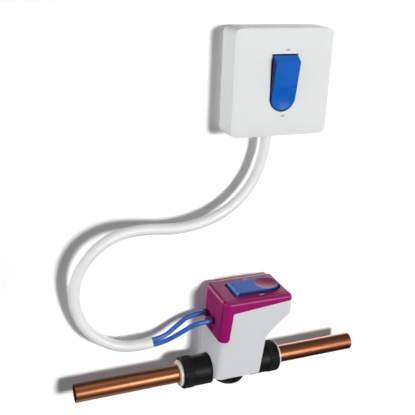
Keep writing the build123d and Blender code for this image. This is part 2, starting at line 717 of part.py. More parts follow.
def bonnet_screw_places():
    reach = (CHAMBER_BORE_R + FLANGE_R) / 2 * math.sqrt(0.5)
    return [(x, y) for x in (-reach, reach) for y in (-reach, reach)]


def valve_body():
    chamber = rod_z(CHAMBER_R, up(-CHAMBER_BOTTOM), up(CHAMBER_TOP), VALVE_X, PIPE_Y)
    chamber = fillet(chamber.edges().sort_by(Axis.Z)[:1], CHAMBER_ROUND)
    flange_low = CHAMBER_TOP - FLANGE_THICK
    body = chamber + rod_z(FLANGE_R, up(flange_low), up(CHAMBER_TOP), VALVE_X, PIPE_Y)
    foot = Pos(VALVE_X, PIPE_Y, up(FOOT_BOTTOM)) * extrude(
        RectangleRounded(2 * FOOT_HALF, 2 * FOOT_HALF, 3), amount=FOOT_THICK)
    body += foot
    for side in (-1, 1):
        body += along_pipe(side, NECK_R, 0, SHOULDER_START + 1)
        body += along_pipe(side, SHOULDER_R, SHOULDER_START, SHOULDER_END)
        body += along_pipe(side, SPIGOT_R, SHOULDER_END, SPIGOT_END)
    for side in (-1, 1):
        body -= along_pipe(side, PIPE_R + SEAT_GAP, PIPE_STOP, SPIGOT_END + 1)
        body -= along_pipe(side, socket_r(), SEAL_START, SPIGOT_END + 1)
        body -= along_pipe(side, WATER_R, INLET_END if side < 0 else 0, PIPE_STOP + 1)
    # Chamber with the ring-shaped inlet pocket round the seat tower
    body -= rod_z(CHAMBER_BORE_R, up(CHAMBER_FLOOR), up(CHAMBER_TOP + 1), VALVE_X, PIPE_Y)
    pocket = rod_z(CHAMBER_BORE_R, up(-WATER_R), up(CHAMBER_FLOOR + 1), VALVE_X, PIPE_Y)
    pocket -= rod_z(SEAT_R + 1, up(-CHAMBER_R), up(CHAMBER_TOP), VALVE_X, PIPE_Y)
    wide = 1.5 * CHAMBER_R
    body -= pocket & block((VALVE_X - wide, VALVE_X - POCKET_EDGE), (PIPE_Y - wide, PIPE_Y + wide),
                           (up(-wide), up(wide)))
    # Seat bore down into the outlet, and the recess that holds the seat ring
    body -= rod_z(WATER_R, up(-2), up(CHAMBER_FLOOR + 1), VALVE_X, PIPE_Y)
    body -= rod_z(SEAT_R, up(CHAMBER_FLOOR - 3), up(CHAMBER_FLOOR + 1), VALVE_X, PIPE_Y)
    for x, y in bonnet_screw_places():
        body -= rod_z(BONNET_SCREW_R, up(flange_low - 1), up(CHAMBER_TOP + 1), VALVE_X + x, PIPE_Y + y)
    foot_top = FOOT_BOTTOM + FOOT_THICK
    for x, y in foot_screw_places():
        body -= rod_z(FOOT_SCREW_R + 0.2, up(FOOT_BOTTOM - 1), up(foot_top + 1), VALVE_X + x, PIPE_Y + y)
    return body


def socket_r():
    return PIPE_R + 2 * PIPE_SEAL_WIRE + SEAT_GAP


def valve_seat():
    seat = rod_z(SEAT_R, up(CHAMBER_FLOOR - 3), up(SEAT_TOP), VALVE_X, PIPE_Y)
    seat -= rod_z(WATER_R, up(0), up(SEAT_TOP + 1), VALVE_X, PIPE_Y)
    rim = seat.edges().group_by(Axis.Z)[-1]
    return fillet(rim, 0.4)


def main_piston():
    radius = CHAMBER_BORE_R - FIT
    piston = rod_z(radius, up(PISTON_BOTTOM), up(PISTON_TOP), VALVE_X, PIPE_Y)
    piston -= rod_z(radius - PISTON_WALL, up(PISTON_FLOOR), up(PISTON_TOP + 1), VALVE_X, PIPE_Y)
    piston -= rod_z(WASHER_R, up(PISTON_BOTTOM - 1), up(PISTON_BOTTOM + 0.8), VALVE_X, PIPE_Y)
    piston -= rod_z(1.5, up(PISTON_BOTTOM - 1), up(PISTON_FLOOR - 0.6), VALVE_X, PIPE_Y)
    groove = rod_z(radius + 1, up(seal_low()), up(seal_low() + SEAL_HEIGHT), VALVE_X, PIPE_Y)
    groove -= rod_z(radius - 1.4, up(seal_low() - 1), up(seal_low() + SEAL_HEIGHT + 1), VALVE_X, PIPE_Y)
    bleed = rod_z(0.4, up(PISTON_BOTTOM - 1), up(PISTON_FLOOR + 1), VALVE_X - WASHER_R - 0.9, PIPE_Y)
    return piston - groove - bleed


def seal_low():
    return PISTON_FLOOR + 1.6


def piston_seal():
    radius = CHAMBER_BORE_R - FIT / 2
    low, high = seal_low(), seal_low() + SEAL_HEIGHT
    ring = rod_z(radius, up(low), up(high), VALVE_X, PIPE_Y)
    ring -= rod_z(CHAMBER_BORE_R - FIT - 1.4, up(low - 1), up(high + 1), VALVE_X, PIPE_Y)
    lip = rod_z(radius - 0.5, up(high - 1), up(high + 1), VALVE_X, PIPE_Y)
    lip -= rod_z(radius - 0.9, up(low), up(high + 1), VALVE_X, PIPE_Y)
    return ring - lip


def seat_washer():
    low = SEAT_TOP + SEAT_GAP / 2
    washer = rod_z(WASHER_R, up(low), up(PISTON_BOTTOM + 0.8), VALVE_X, PIPE_Y)
    return washer - rod_z(1.5, up(low - 1), up(PISTON_BOTTOM + 1), VALVE_X, PIPE_Y)


def washer_screw():
    low = SEAT_TOP + SEAT_GAP / 2
    head = rod_z(WASHER_SCREW_R, up(low - 1.6), up(low), VALVE_X, PIPE_Y)
    head += rod_z(1.5, up(low), up(PISTON_FLOOR - 0.6), VALVE_X, PIPE_Y)
    return head - Pos(VALVE_X, PIPE_Y, up(low - 1.6)) * Box(2 * WASHER_SCREW_R + 1, 0.8, 1.2)


def piston_spring():
    spring = coil_spring(MAIN_SPRING_R, MAIN_SPRING_WIRE, CHAMBER_TOP - PISTON_FLOOR, MAIN_SPRING_TURNS)
    return Pos(VALVE_X, PIPE_Y, up(PISTON_FLOOR)) * spring


def nipple_places():
    x = VALVE_X + NIPPLE_X
    return [(x, PIPE_Y - NIPPLE_SPREAD), (x, PIPE_Y + NIPPLE_SPREAD)]


def bonnet():
    top = CHAMBER_TOP + BONNET_THICK
    disc = rod_z(FLANGE_R, up(CHAMBER_TOP), up(top), VALVE_X, PIPE_Y)
    for x, y in nipple_places():
        disc += rod_z(NIPPLE_R, up(top), up(top + NIPPLE_RISE), x, y)
    for x, y in nipple_places():
        disc -= rod_z(DRILL_R, up(CHAMBER_TOP - 1), up(top + NIPPLE_RISE + 1), x, y)
    for x, y in bonnet_screw_places():
        disc -= rod_z(BONNET_SCREW_R + 0.2, up(CHAMBER_TOP - 1), up(top + 1), VALVE_X + x, PIPE_Y + y)
    return disc


def bonnet_screws():
    screws = []
    top = CHAMBER_TOP + BONNET_THICK
    for x, y in bonnet_screw_places():
        head = rod_z(2.1, up(top), up(top + 1.8), VALVE_X + x, PIPE_Y + y)
        shank = rod_z(BONNET_SCREW_R, up(CHAMBER_TOP - FLANGE_THICK), up(top), VALVE_X + x, PIPE_Y + y)
        cross = Pos(VALVE_X + x, PIPE_Y + y, up(top + 1.8)) * (Box(2.4, 0.6, 1.2) + Box(0.6, 2.4, 1.2))
        screws.append(head + shank - cross)
    return screws


def pilot_risers():
    hoses = []
    low = CHAMBER_TOP + BONNET_THICK + 1.0
    for x, y in nipple_places():
        hose = rod_z(NIPPLE_R + RISER_WALL, up(low), up(MANIFOLD_BOTTOM), x, y)
        hose -= rod_z(NIPPLE_R, up(low - 1), up(MANIFOLD_BOTTOM + 1), x, y)
        hoses.append(hose)
    return hoses


# Collars

def screw_cap(side):
    cap = along_pipe(side, CAP_R, CAP_START, CAP_END)
    mouth_edge = cap.edges().filter_by(GeomType.CIRCLE).sort_by(Axis.X)[0 if side < 0 else -1]
    cap = chamfer(mouth_edge, 0.8)
    pitch = 2 * math.pi * CAP_R / CAP_RIBS
    groove = side_x(side, CAP_START - 1), side_x(side, CAP_END - 2.2)
    for index in range(CAP_RIBS):
        angle = 2 * math.pi * index / CAP_RIBS
        y = PIPE_Y + (CAP_R + 0.1) * math.cos(angle)
        z = PIPE_Z + (CAP_R + 0.1) * math.sin(angle)
        cap -= rod_x(min(pitch / 4, RIB_DEPTH + 0.1), groove[0], groove[1], y, z)
    cap -= along_pipe(side, SPIGOT_R + FIT, CAP_START - 1, CAP_INNER)
    cap -= along_pipe(side, COLLAR_R + FIT, CAP_START, CAP_END + 1)
    cap -= along_pipe(side, MOUTH_R, CAP_END - MOUTH_DEPTH, CAP_END + 1)
    return cap


def pipe_collet(side):
    collet = along_pipe(side, COLLAR_R, COLLAR_START, CAP_END)
    collet += along_pipe(side, COLLAR_BEAD_R, COLLAR_BEAD_START, CAP_INNER - 0.3)
    flange = along_pipe(side, COLLAR_FLANGE_R, CAP_END, COLLET_OUT)
    outer_edge = flange.edges().filter_by(GeomType.CIRCLE).sort_by(Axis.X)[0 if side < 0 else -1]
    flange = fillet(outer_edge, 0.9)
    collet += flange
    collet -= along_pipe(side, PIPE_R + FIT, COLLAR_START - 1, COLLET_OUT + 1)
    for turn in range(4):
        slit = block((COLLAR_START - 1, COLLAR_BEAD_START + 1.5), (-0.5, 0.5), (0, COLLAR_BEAD_R + 1))
        slit = Rot(90 * turn + 45, 0, 0) * slit
        slit = slit if side > 0 else mirror(slit, Plane.YZ)
        collet -= Pos(VALVE_X, PIPE_Y, PIPE_Z) * slit
    return collet


def pipe_seal(side):
    place = Pos(side_x(side, SEAL_START + PIPE_SEAL_WIRE + 0.1), PIPE_Y, PIPE_Z) * Rot(0, 90, 0)
    return place * Torus(PIPE_R + PIPE_SEAL_WIRE + SEAT_GAP / 2, PIPE_SEAL_WIRE)


def spacer(side):
    start = SEAL_START + 2 * PIPE_SEAL_WIRE + 0.3
    return ring_at(side, socket_r() - FIT, PIPE_R + SEAT_GAP, start, start + SPACER_THICK)


def grab_ring(side):
    start = SEAL_START + 2 * PIPE_SEAL_WIRE + 0.3 + SPACER_THICK + 0.1
    ring = ring_at(side, socket_r() - FIT, PIPE_R + FIT, start, start + GRAB_THICK)
    for index in range(12):
        tooth = block((start - 1, start + GRAB_THICK + 1), (-0.3, 0.3), (PIPE_R - 1, PIPE_R + 1.3))
        tooth = Rot(30 * index, 0, 0) * tooth
        tooth = tooth if side > 0 else mirror(tooth, Plane.YZ)
        ring -= Pos(VALVE_X, PIPE_Y, PIPE_Z) * tooth
    return ring


def copper_pipe(side, end):
    """Pipe end with the shallow mark that shows how far it is pushed in."""
    pipe = ring_at(side, PIPE_R, PIPE_R - PIPE_WALL, PIPE_STOP + SEAT_GAP, end)
    mark = COLLET_OUT + PIPE_MARK
    return pipe - ring_at(side, PIPE_R + 1, PIPE_R - PIPE_MARK_DEPTH, mark, mark + PIPE_MARK_WIDTH)


# Casing and hood

def casing_outline(inset, bottom):
    """Side view of the casing seen from the front, left face leaning, right side with its overhang."""
    lean = (LEFT_BOTTOM - LEFT_TOP) / (VALVE_TOP - CASING_BOTTOM)
    low_left = LEFT_BOTTOM + lean * (CASING_BOTTOM - bottom)
    right_lean = (RIGHT_BOTTOM - WAIST_X) / (WAIST_Z - CASING_BOTTOM)
    low_right = RIGHT_BOTTOM + right_lean * (CASING_BOTTOM - bottom)
    chord_x, chord_z = RIGHT_TOP - WAIST_X, OVERHANG_Z - WAIST_Z
    length = math.hypot(chord_x, chord_z)
    sag = ((RIGHT_TOP + WAIST_X) / 2 - CURVE_SAG * chord_z / length,
           (OVERHANG_Z + WAIST_Z) / 2 + CURVE_SAG * chord_x / length)
    line = Line((WAIST_X, WAIST_Z), (low_right, bottom))
    line += Line((low_right, bottom), (low_left, bottom))
    line += Line((low_left, bottom), (LEFT_TOP, VALVE_TOP))
    line += Line((LEFT_TOP, VALVE_TOP), (RIGHT_TOP, VALVE_TOP))
    line += Line((RIGHT_TOP, VALVE_TOP), (RIGHT_TOP, OVERHANG_Z))
    line += ThreePointArc((RIGHT_TOP, OVERHANG_Z), sag, (WAIST_X, WAIST_Z))
    face = make_face(line)
    corner = face.vertices().sort_by_distance((RIGHT_TOP, OVERHANG_Z, 0))[0]
    face = fillet(corner, TIP_ROUND)
    return offset(face, -inset) if inset else face


def across_profile(inset, bottom):
    """Cross-section seen along the pipe: a slight taper towards the bottom."""
    taper = (HALF_TOP - HALF_BOTTOM) / (VALVE_TOP - CASING_BOTTOM)
    low = HALF_BOTTOM - taper * (CASING_BOTTOM - bottom) - inset
    return Polygon((-low, bottom), (low, bottom), (HALF_TOP - inset, VALVE_TOP - inset),
                   (-HALF_TOP + inset, VALVE_TOP - inset), align=None)


def casing_block(inset, bottom):
    place = Pos(VALVE_X, PIPE_Y, PIPE_Z)
    front = extrude(Plane.XZ * casing_outline(inset, bottom), amount=2 * HALF_TOP, both=True)
    along = prism_x(across_profile(inset, bottom), 3 * LEFT_BOTTOM, 3 * RIGHT_TOP)
    return place * (front & along)


def rounded_casing():
    """Outer shape of casing and hood together."""
    solid = hollow_block(0, CASING_BOTTOM)
    sides = [edge for edge in solid.edges() if is_side_edge(edge)]
    solid = fillet(sides, VALVE_EDGE)
    top = [edge for edge in solid.edges() if abs(edge.center().Z - up(VALVE_TOP)) < 0.1]
    return fillet(top, TOP_EDGE)


def is_side_edge(edge):
    middle = edge.center()
    return middle.Z > up(CASING_BOTTOM + 0.5) and abs(middle.Z - up(VALVE_TOP)) > 0.1


def hollow_block(inset, bottom):
    """Casing shape drawn in by an inset, with the upright edges of the left face and overhang rounded."""
    solid = casing_block(inset, bottom)
    upright = solid.edges().filter_by(Axis.Z, tolerance=6)
    right = [edge for edge in upright if edge.center().X > VALVE_X + RIGHT_TOP - inset - 1]
    solid = fillet(right, max(RIGHT_ROUND - inset, LEAST_ROUND))
    upright = solid.edges().filter_by(Axis.Z, tolerance=6)
    left = [edge for edge in upright if edge.center().X < VALVE_X + LEFT_TOP + inset]
    return fillet(left, max(LEFT_ROUND - inset, LEAST_ROUND))


def hood_region(grow):
    """Part of the side view that the hood covers: top band and upright bar."""
    far = 3 * RIGHT_TOP
    slope = (BAND_RIGHT_Z - BAND_LEFT_Z) / (RIGHT_TOP - BAR_TOP_X)
    far_z = BAND_RIGHT_Z + slope * (far - RIGHT_TOP)
    region = Polygon(
        (far, VALVE_TOP + OVERCUT),
        (far, far_z),
        (BAR_TOP_X, BAND_LEFT_Z),
        (BAR_BOTTOM_X, BAR_BOTTOM_Z),
        (-far, BAR_BOTTOM_Z),
        (-far, VALVE_TOP + OVERCUT),
        align=None,
    )
    inner = region.vertices().sort_by_distance((BAR_TOP_X, BAND_LEFT_Z, 0))[0]
    region = fillet(inner, 1.6)
    tip = region.vertices().sort_by_distance((BAR_BOTTOM_X, BAR_BOTTOM_Z, 0))[0]
    region = fillet(tip, 3.2)
    return offset(region, grow) if grow else region


def hood_cutter(grow):
    shape = extrude(Plane.XZ * hood_region(grow), amount=2 * HALF_TOP, both=True)
    return Pos(VALVE_X, PIPE_Y, PIPE_Z) * shape


def hood_groove():
    """Shallow groove over the hood's top and down its ends, just behind the front edge."""
    floor = casing_outline(GROOVE_DEPTH, CASING_BOTTOM)
    for x in (LEFT_TOP, RIGHT_TOP):
        corner = floor.vertices().sort_by_distance((x, VALVE_TOP, 0))[0]
        floor = fillet(corner, TOP_EDGE - GROOVE_DEPTH)
    outside = Rectangle(4 * RIGHT_TOP, 4 * RIGHT_TOP) - floor
    return Pos(VALVE_X, PIPE_Y, PIPE_Z) * prism_y(
        outside, GROOVE_WIDTH / 2 - GROOVE_Y, -GROOVE_WIDTH / 2 - GROOVE_Y)


def port_recess():
    """Shallow recess in the left face, open to the back, with a pointed front end."""
    shape = Polygon(
        (HALF_TOP + 5, RECESS_TOP),
        (RECESS_FRONT, RECESS_TOP),
        (RECESS_FRONT + 5, PORT_Z - 2),
        (RECESS_FRONT + 2, RECESS_BOTTOM),
        (HALF_TOP + 5, RECESS_BOTTOM),
        align=None,
    )
    lean = (LEFT_BOTTOM - LEFT_TOP) / (VALVE_TOP - CASING_BOTTOM)
    face_x = LEFT_TOP + lean * (VALVE_TOP - PORT_Z)
    return Pos(VALVE_X, PIPE_Y, PIPE_Z) * prism_x(shape, face_x - 8, face_x + RECESS_DEPTH)


def posts():
    places = [(x, y) for x in (POST_LEFT, POST_RIGHT) for y in (-POST_Y, POST_Y)]
    return [(VALVE_X + x, PIPE_Y + y) for x, y in places]


def valve_hood(outer):
    hood = (outer & hood_cutter(0)) - hood_groove()
    hood += hollow_block(SHELL + SEAT_GAP, CASING_BOTTOM - OVERCUT / 2) & hood_cutter(HOOD_LIP)
    hood -= hollow_block(HOOD_SHELL, CASING_BOTTOM - OVERCUT)
    hood -= HOOD_FRAME * Pos(0, 0, -2) * extrude(rocker_opening(), amount=HOOD_PIVOT_DEPTH + 4)
    for ear in rocker_ears(HOOD_PIVOT_DEPTH - HOOD_SHELL):
        hood += HOOD_FRAME * ear
    for x, y in posts():
        hood += rod_z(POST_R, up(MANIFOLD_TOP), up(VALVE_TOP - HOOD_SHELL + 0.5), x, y)
        hood -= rod_z(HOOD_SCREW_R, up(MANIFOLD_TOP - 1), up(VALVE_TOP - HOOD_SHELL - 1), x, y)
    hood -= port_recess()
    for y in (PORT_BACK_Y, PORT_FRONT_Y):
        hood -= rod_x(port_boss_r() + SEAT_GAP, VALVE_X + 1.5 * LEFT_BOTTOM, VALVE_X + MANIFOLD_LEFT,
                      PIPE_Y + y, up(PORT_Z))
    return hood


def valve_casing(outer):
    shell = outer - hollow_block(SHELL, CASING_BOTTOM - OVERCUT / 2)
    casing = shell - hood_cutter(SEAM)
    inside = casing_block(SHELL - 0.5, CASING_BOTTOM - OVERCUT / 2)
    base = up(FOOT_BOTTOM + FOOT_THICK)
    for x, y in foot_screw_places():
        along = boss_span(VALVE_X + x, x)
        across = boss_span(PIPE_Y + y, y)
        boss = block(along, across, (base, base + FOOT_BOSS_HEIGHT)) & inside
        casing += boss - rod_z(FOOT_SCREW_R, base - 1, base + FOOT_BOSS_HEIGHT - 1, VALVE_X + x, PIPE_Y + y)
    for side in (-1, 1):
        casing -= along_pipe(side, SHOULDER_R + SHOULDER_GAP, FOOT_SCREW + FOOT_BOSS_HALF, SHOULDER_END)
    return casing


def boss_span(place, side):
    """Limits of a screw boss, from just inside its screw out past the casing's wall."""
    ends = (place - math.copysign(FOOT_BOSS_HALF, side), place + math.copysign(4 * FOOT_BOSS_HALF, side))
    return min(ends), max(ends)


def casing_screws():
    screws = []
    low, top = FOOT_BOTTOM - 1.8, FOOT_BOTTOM + FOOT_THICK + FOOT_BOSS_HEIGHT - 2
    for x, y in foot_screw_places():
        head = rod_z(2.5, up(low), up(FOOT_BOTTOM), VALVE_X + x, PIPE_Y + y)
        shank = rod_z(FOOT_SCREW_R, up(FOOT_BOTTOM), up(top), VALVE_X + x, PIPE_Y + y)
        cross = Pos(VALVE_X + x, PIPE_Y + y, up(low)) * (Box(2.8, 0.7, 1.2) + Box(0.7, 2.8, 1.2))
        screws.append(head + shank - cross)
    return screws


def hood_screws():
    screws = []
    for x, y in posts():
        low = MANIFOLD_TOP - MANIFOLD_PLATE
        head = rod_z(2.4, up(low - 1.6), up(low), x, y)
        shank = rod_z(HOOD_SCREW_R, up(low), up(VALVE_TOP - HOOD_SHELL - 1.2), x, y)
        cross = Pos(x, y, up(low - 1.6)) * (Box(2.6, 0.6, 1.2) + Box(0.6, 2.6, 1.2))
        screws.append(head + shank - cross)
    return screws


def valve_manifold():
    top = up(MANIFOLD_TOP)
    x_low, x_high = VALVE_X + MANIFOLD_LEFT, VALVE_X + MANIFOLD_RIGHT
    across = (PIPE_Y - MANIFOLD_HALF, PIPE_Y + MANIFOLD_HALF)
    body = block((x_low, x_high), across, (up(MANIFOLD_BOTTOM), top))
    lower = body.edges().filter_by(Axis.Y).group_by(Axis.X)[-1].sort_by(Axis.Z)[0]
    body = chamfer(lower, MANIFOLD_CHAMFER)
    plate_half = POST_Y + POST_R - 0.4
    body += block((VALVE_X + POST_LEFT - POST_R, VALVE_X + POST_RIGHT + POST_R),
                  (PIPE_Y - plate_half, PIPE_Y + plate_half), (top - MANIFOLD_PLATE, top))
    port_low = PORT_FRONT_Y - port_boss_r()
    port_high = min(PORT_BACK_Y + port_boss_r(), PORT_BLOCK_BACK)
    body += block((x_low, VALVE_X + PORT_BLOCK_RIGHT), (PIPE_Y + port_low, PIPE_Y + port_high),
                  (up(PORT_Z - port_boss_r()), up(PORT_Z + port_boss_r() + 2)))
    for y in (PORT_BACK_Y, PORT_FRONT_Y):
        body += rod_x(port_boss_r(), VALVE_X + boss_end(), x_low, PIPE_Y + y, up(PORT_Z))
    for cut in plunger_bores(VALVE_BORE):
        body -= HOOD_FRAME * cut
    for y in (PORT_BACK_Y, PORT_FRONT_Y):
        body -= port_bore(y)
    body -= pilot_channels()
    for x, y in nipple_places():
        body -= rod_z(DRILL_R, up(MANIFOLD_BOTTOM - 1), up(MANIFOLD_BOTTOM + 5), x, y)
    for x, y in posts():
        body -= rod_z(HOOD_SCREW_R + 0.2, top - MANIFOLD_PLATE - 1, top + 1, x, y)
    return body


def boss_end():
    """Outer end of the port bosses."""
    return PORT_MOUTH + COLLET_HEAD + COLLET_SHOW


def port_bore(y):
    start = VALVE_X + boss_end() - 1
    mouth = rod_x(COLLET_R + FIT, start, VALVE_X + boss_end() + COLLET_LENGTH, PIPE_Y + y, up(PORT_Z))
    tube = rod_x(TUBE_R + FIT, start, VALVE_X + boss_end() + COLLET_LENGTH + 3, PIPE_Y + y, up(PORT_Z))
    drill = rod_x(DRILL_R, start, VALVE_X + CHANNEL_X, PIPE_Y + y, up(PORT_Z))
    return mouth + tube + drill


def pilot_channels():
    """Channels from the two ports to the plunger bores: the front one to the near bore, the other past it."""
    near, far = VALVE_X + ROCKER_X - PLUNGE_OFFSET, VALVE_X + ROCKER_X + PLUNGE_OFFSET
    start, height, side = VALVE_X + CHANNEL_X, up(CHANNEL_Z), PIPE_Y + CHANNEL_Y
    cuts = rod_z(DRILL_R, up(PORT_Z), height + DRILL_R, start, PIPE_Y + PORT_FRONT_Y)
    cuts += rod_x(DRILL_R, start, near, PIPE_Y + PORT_FRONT_Y, height)
    cuts += rod_z(DRILL_R, up(PORT_Z), height + DRILL_R, start, PIPE_Y + PORT_BACK_Y)
    cuts += rod_y(DRILL_R, PIPE_Y + PORT_BACK_Y, side - DRILL_R, start, height)
    cuts += rod_x(DRILL_R, start, far + DRILL_R, side, height)
    return cuts + rod_y(DRILL_R, side, PIPE_Y, far, height)


def valve_collet(y):
    inner_end = VALVE_X + boss_end() + COLLET_LENGTH - 2 * PORT_SEAL_WIRE - 0.6 - COLLET_TRAVEL
    outer_end = VALVE_X + PORT_MOUTH
    collet = rod_x(COLLET_R, outer_end, inner_end, PIPE_Y + y, up(PORT_Z))
    collet += rod_x(COLLET_HEAD_R, outer_end, outer_end + COLLET_HEAD, PIPE_Y + y, up(PORT_Z))
    return collet - rod_x(TUBE_R + FIT, outer_end - 1, inner_end + 1, PIPE_Y + y, up(PORT_Z))


def valve_port_seal(y):
    x = VALVE_X + boss_end() + COLLET_LENGTH - PORT_SEAL_WIRE - 0.1
    ring_r = (TUBE_R + COLLET_R) / 2 + FIT
    return Pos(x, PIPE_Y + y, up(PORT_Z)) * Rot(0, 90, 0) * Torus(ring_r, (COLLET_R - TUBE_R) / 2)


def valve_tube_end(y):
    start = VALVE_X + PORT_MOUTH
    end = VALVE_X + boss_end() + COLLET_LENGTH + 2.8
    return rod_x(TUBE_R, start, end, PIPE_Y + y, up(PORT_Z)) - rod_x(
        TUBE_BORE_R, start - 1, end + 1, PIPE_Y + y, up(PORT_Z))


# Write every node

save("switch_back_tray", back_tray())
save("switch_cover", switch_cover())
save("switch_rocker", CASE_FRAME * tilted(rocker_body(), ROCK_TILT))
save("switch_rocker_pin", CASE_FRAME * rocker_pin())
save("switch_pilot_block", switch_block())
save("switch_block_screws", *switch_block_screws())
save("switch_open_plunger", CASE_FRAME * plunger(TIP_OUT, 1))
save("switch_close_plunger", CASE_FRAME * plunger(TIP_IN, -1))
save("switch_open_ring", CASE_FRAME * plunger_ring(TIP_OUT, 1))
save("switch_close_ring", CASE_FRAME * plunger_ring(TIP_IN, -1))
save("switch_open_spring", CASE_FRAME * plunger_spring(TIP_OUT, 1, SWITCH_BORE))
save("switch_close_spring", CASE_FRAME * plunger_spring(TIP_IN, -1, SWITCH_BORE))
PORT_LEFT, PORT_RIGHT = switch_port_places()
save("switch_port_seals", switch_port_seal(PORT_LEFT), switch_port_seal(PORT_RIGHT))
save("switch_open_collet", switch_collet(PORT_LEFT))
save("switch_close_collet", switch_collet(PORT_RIGHT))
save("switch_tube_tails", switch_tube_tail(PORT_LEFT, -1), switch_tube_tail(PORT_RIGHT, 1))
save("sleeve_gland", sleeve_gland())

save("tube_sleeve", cord_tube("sleeve", SLEEVE_ROUTE, SLEEVE_R))
save("open_tube", cord_tube("open tube", BACK_TUBE_ROUTE, TUBE_R))
save("close_tube", cord_tube("close tube", FRONT_TUBE_ROUTE, TUBE_R))

save("valve_body", valve_body())
save("valve_seat", valve_seat())
save("main_piston", main_piston())
save("piston_seal", piston_seal())
save("seat_washer", seat_washer())
save("washer_screw", washer_screw())
save("piston_spring", piston_spring())
save("bonnet", bonnet())
save("bonnet_screws", *bonnet_screws())
save("pilot_risers", *pilot_risers())
save("valve_manifold", valve_manifold())
save("hood_screws", *hood_screws())
save("valve_rocker", HOOD_FRAME * rocker_with_pad())
save("valve_rocker_pad", HOOD_FRAME * rocker_pad())
save("valve_rocker_pin", HOOD_FRAME * rocker_pin())
for name, side in (("open", 1), ("close", -1)):
    save(f"valve_{name}_plunger", HOOD_FRAME * plunger(TIP_LEVEL, side))
    save(f"valve_{name}_ring", HOOD_FRAME * plunger_ring(TIP_LEVEL, side))
    save(f"valve_{name}_spring", HOOD_FRAME * plunger_spring(TIP_LEVEL, side, VALVE_BORE))
save("valve_port_seals", valve_port_seal(PORT_BACK_Y), valve_port_seal(PORT_FRONT_Y))
save("valve_open_collet", valve_collet(PORT_BACK_Y))
save("valve_close_collet", valve_collet(PORT_FRONT_Y))
save("valve_tube_ends", valve_tube_end(PORT_BACK_Y), valve_tube_end(PORT_FRONT_Y))
save("casing_screws", *casing_screws())
save("grab_rings", grab_ring(-1), grab_ring(1))
save("pipe_spacers", spacer(-1), spacer(1))
save("pipe_seals", pipe_seal(-1), pipe_seal(1))
for name, side, end in (("left", -1, LEFT_PIPE_END), ("right", 1, RIGHT_PIPE_END)):
    save(f"{name}_screw_cap", screw_cap(side))
    save(f"{name}_pipe_collet", pipe_collet(side))
    save(f"{name}_copper_pipe", copper_pipe(side, end))
OUTER = rounded_casing()
save("valve_hood", valve_hood(OUTER))
save("valve_casing", valve_casing(OUTER))
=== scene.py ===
# %% [markdown]
# This lesson dresses a remote-controlled stopcock: a white wall switch with a blue rocker, a white sleeve
# with two thin blue water tubes in it, and a valve with a magenta hood that sits on a 15 mm copper pipe.
# The imported model is the frame, so every piece is made at the size and place that the frame gives.

# %% Load the frame
import json
import math

import bmesh
import bpy
from mathutils import Matrix, Vector


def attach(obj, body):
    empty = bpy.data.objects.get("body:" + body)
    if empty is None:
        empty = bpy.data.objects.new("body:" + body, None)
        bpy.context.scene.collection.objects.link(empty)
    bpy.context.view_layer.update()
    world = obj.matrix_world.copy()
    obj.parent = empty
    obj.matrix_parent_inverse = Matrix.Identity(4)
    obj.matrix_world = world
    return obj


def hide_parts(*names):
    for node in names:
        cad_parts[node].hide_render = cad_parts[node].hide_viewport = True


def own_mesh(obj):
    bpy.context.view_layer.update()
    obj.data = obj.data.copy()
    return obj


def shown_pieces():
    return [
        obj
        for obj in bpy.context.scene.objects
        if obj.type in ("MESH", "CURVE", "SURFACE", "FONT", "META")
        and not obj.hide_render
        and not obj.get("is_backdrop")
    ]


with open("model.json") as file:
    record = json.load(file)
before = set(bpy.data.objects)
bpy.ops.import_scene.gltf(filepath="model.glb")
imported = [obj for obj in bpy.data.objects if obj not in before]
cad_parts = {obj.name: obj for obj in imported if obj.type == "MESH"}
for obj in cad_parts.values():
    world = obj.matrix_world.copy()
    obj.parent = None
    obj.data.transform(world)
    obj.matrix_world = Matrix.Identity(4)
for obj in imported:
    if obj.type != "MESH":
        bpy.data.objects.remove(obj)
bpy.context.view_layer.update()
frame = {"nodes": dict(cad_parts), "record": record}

MM = 0.001
scene = bpy.context.scene
PIPE_AXIS = Vector((0, -45.4, -239)) * MM      # a point on the axis of the copper pipe
BODY_X = -44 * MM                              # middle of the valve body along the pipe

# %% [markdown]
# The camera comes first. It stands to the left of the object, in front of it and above it, and looks
# down. Its place, lens and small roll come from matching known points: the corners of the 86 mm plate,
# the ends of the pipe and the corners of the casing. A matrix is used in place of three angles because a
# roll about the line of sight is simple to add to it.

# %% Place the camera
CAMERA_PLACE = Vector((-0.26513, -0.51683, 0.10355))
CAMERA_TURN, CAMERA_TILT, CAMERA_ROLL = math.radians(22.55), math.radians(-20.85), math.radians(2.32)
FOCAL_PIXELS, PICTURE_PIXELS, SENSOR = 698.4, 415, 36.0
NEAREST, FARTHEST = 0.01, 20                   # what the camera sees, in metres


def camera_matrix():
    forward = Vector((math.sin(CAMERA_TURN) * math.cos(CAMERA_TILT),
                      math.cos(CAMERA_TURN) * math.cos(CAMERA_TILT), math.sin(CAMERA_TILT)))
    right = forward.cross(Vector((0, 0, 1))).normalized()
    upward = right.cross(forward)
    rolled_right = math.cos(CAMERA_ROLL) * right + math.sin(CAMERA_ROLL) * upward
    rolled_up = math.cos(CAMERA_ROLL) * upward - math.sin(CAMERA_ROLL) * right
    turn = Matrix((rolled_right, rolled_up, -forward)).transposed().to_4x4()
    return Matrix.Translation(CAMERA_PLACE) @ turn


camera = bpy.data.objects.new("camera", bpy.data.cameras.new("camera"))
scene.collection.objects.link(camera)
camera.data.sensor_width = SENSOR
camera.data.lens = FOCAL_PIXELS / PICTURE_PIXELS * SENSOR
camera.data.clip_start, camera.data.clip_end = NEAREST, FARTHEST
camera.matrix_world = camera_matrix()
scene.camera = camera
print("lens", round(camera.data.lens, 2), "mm")

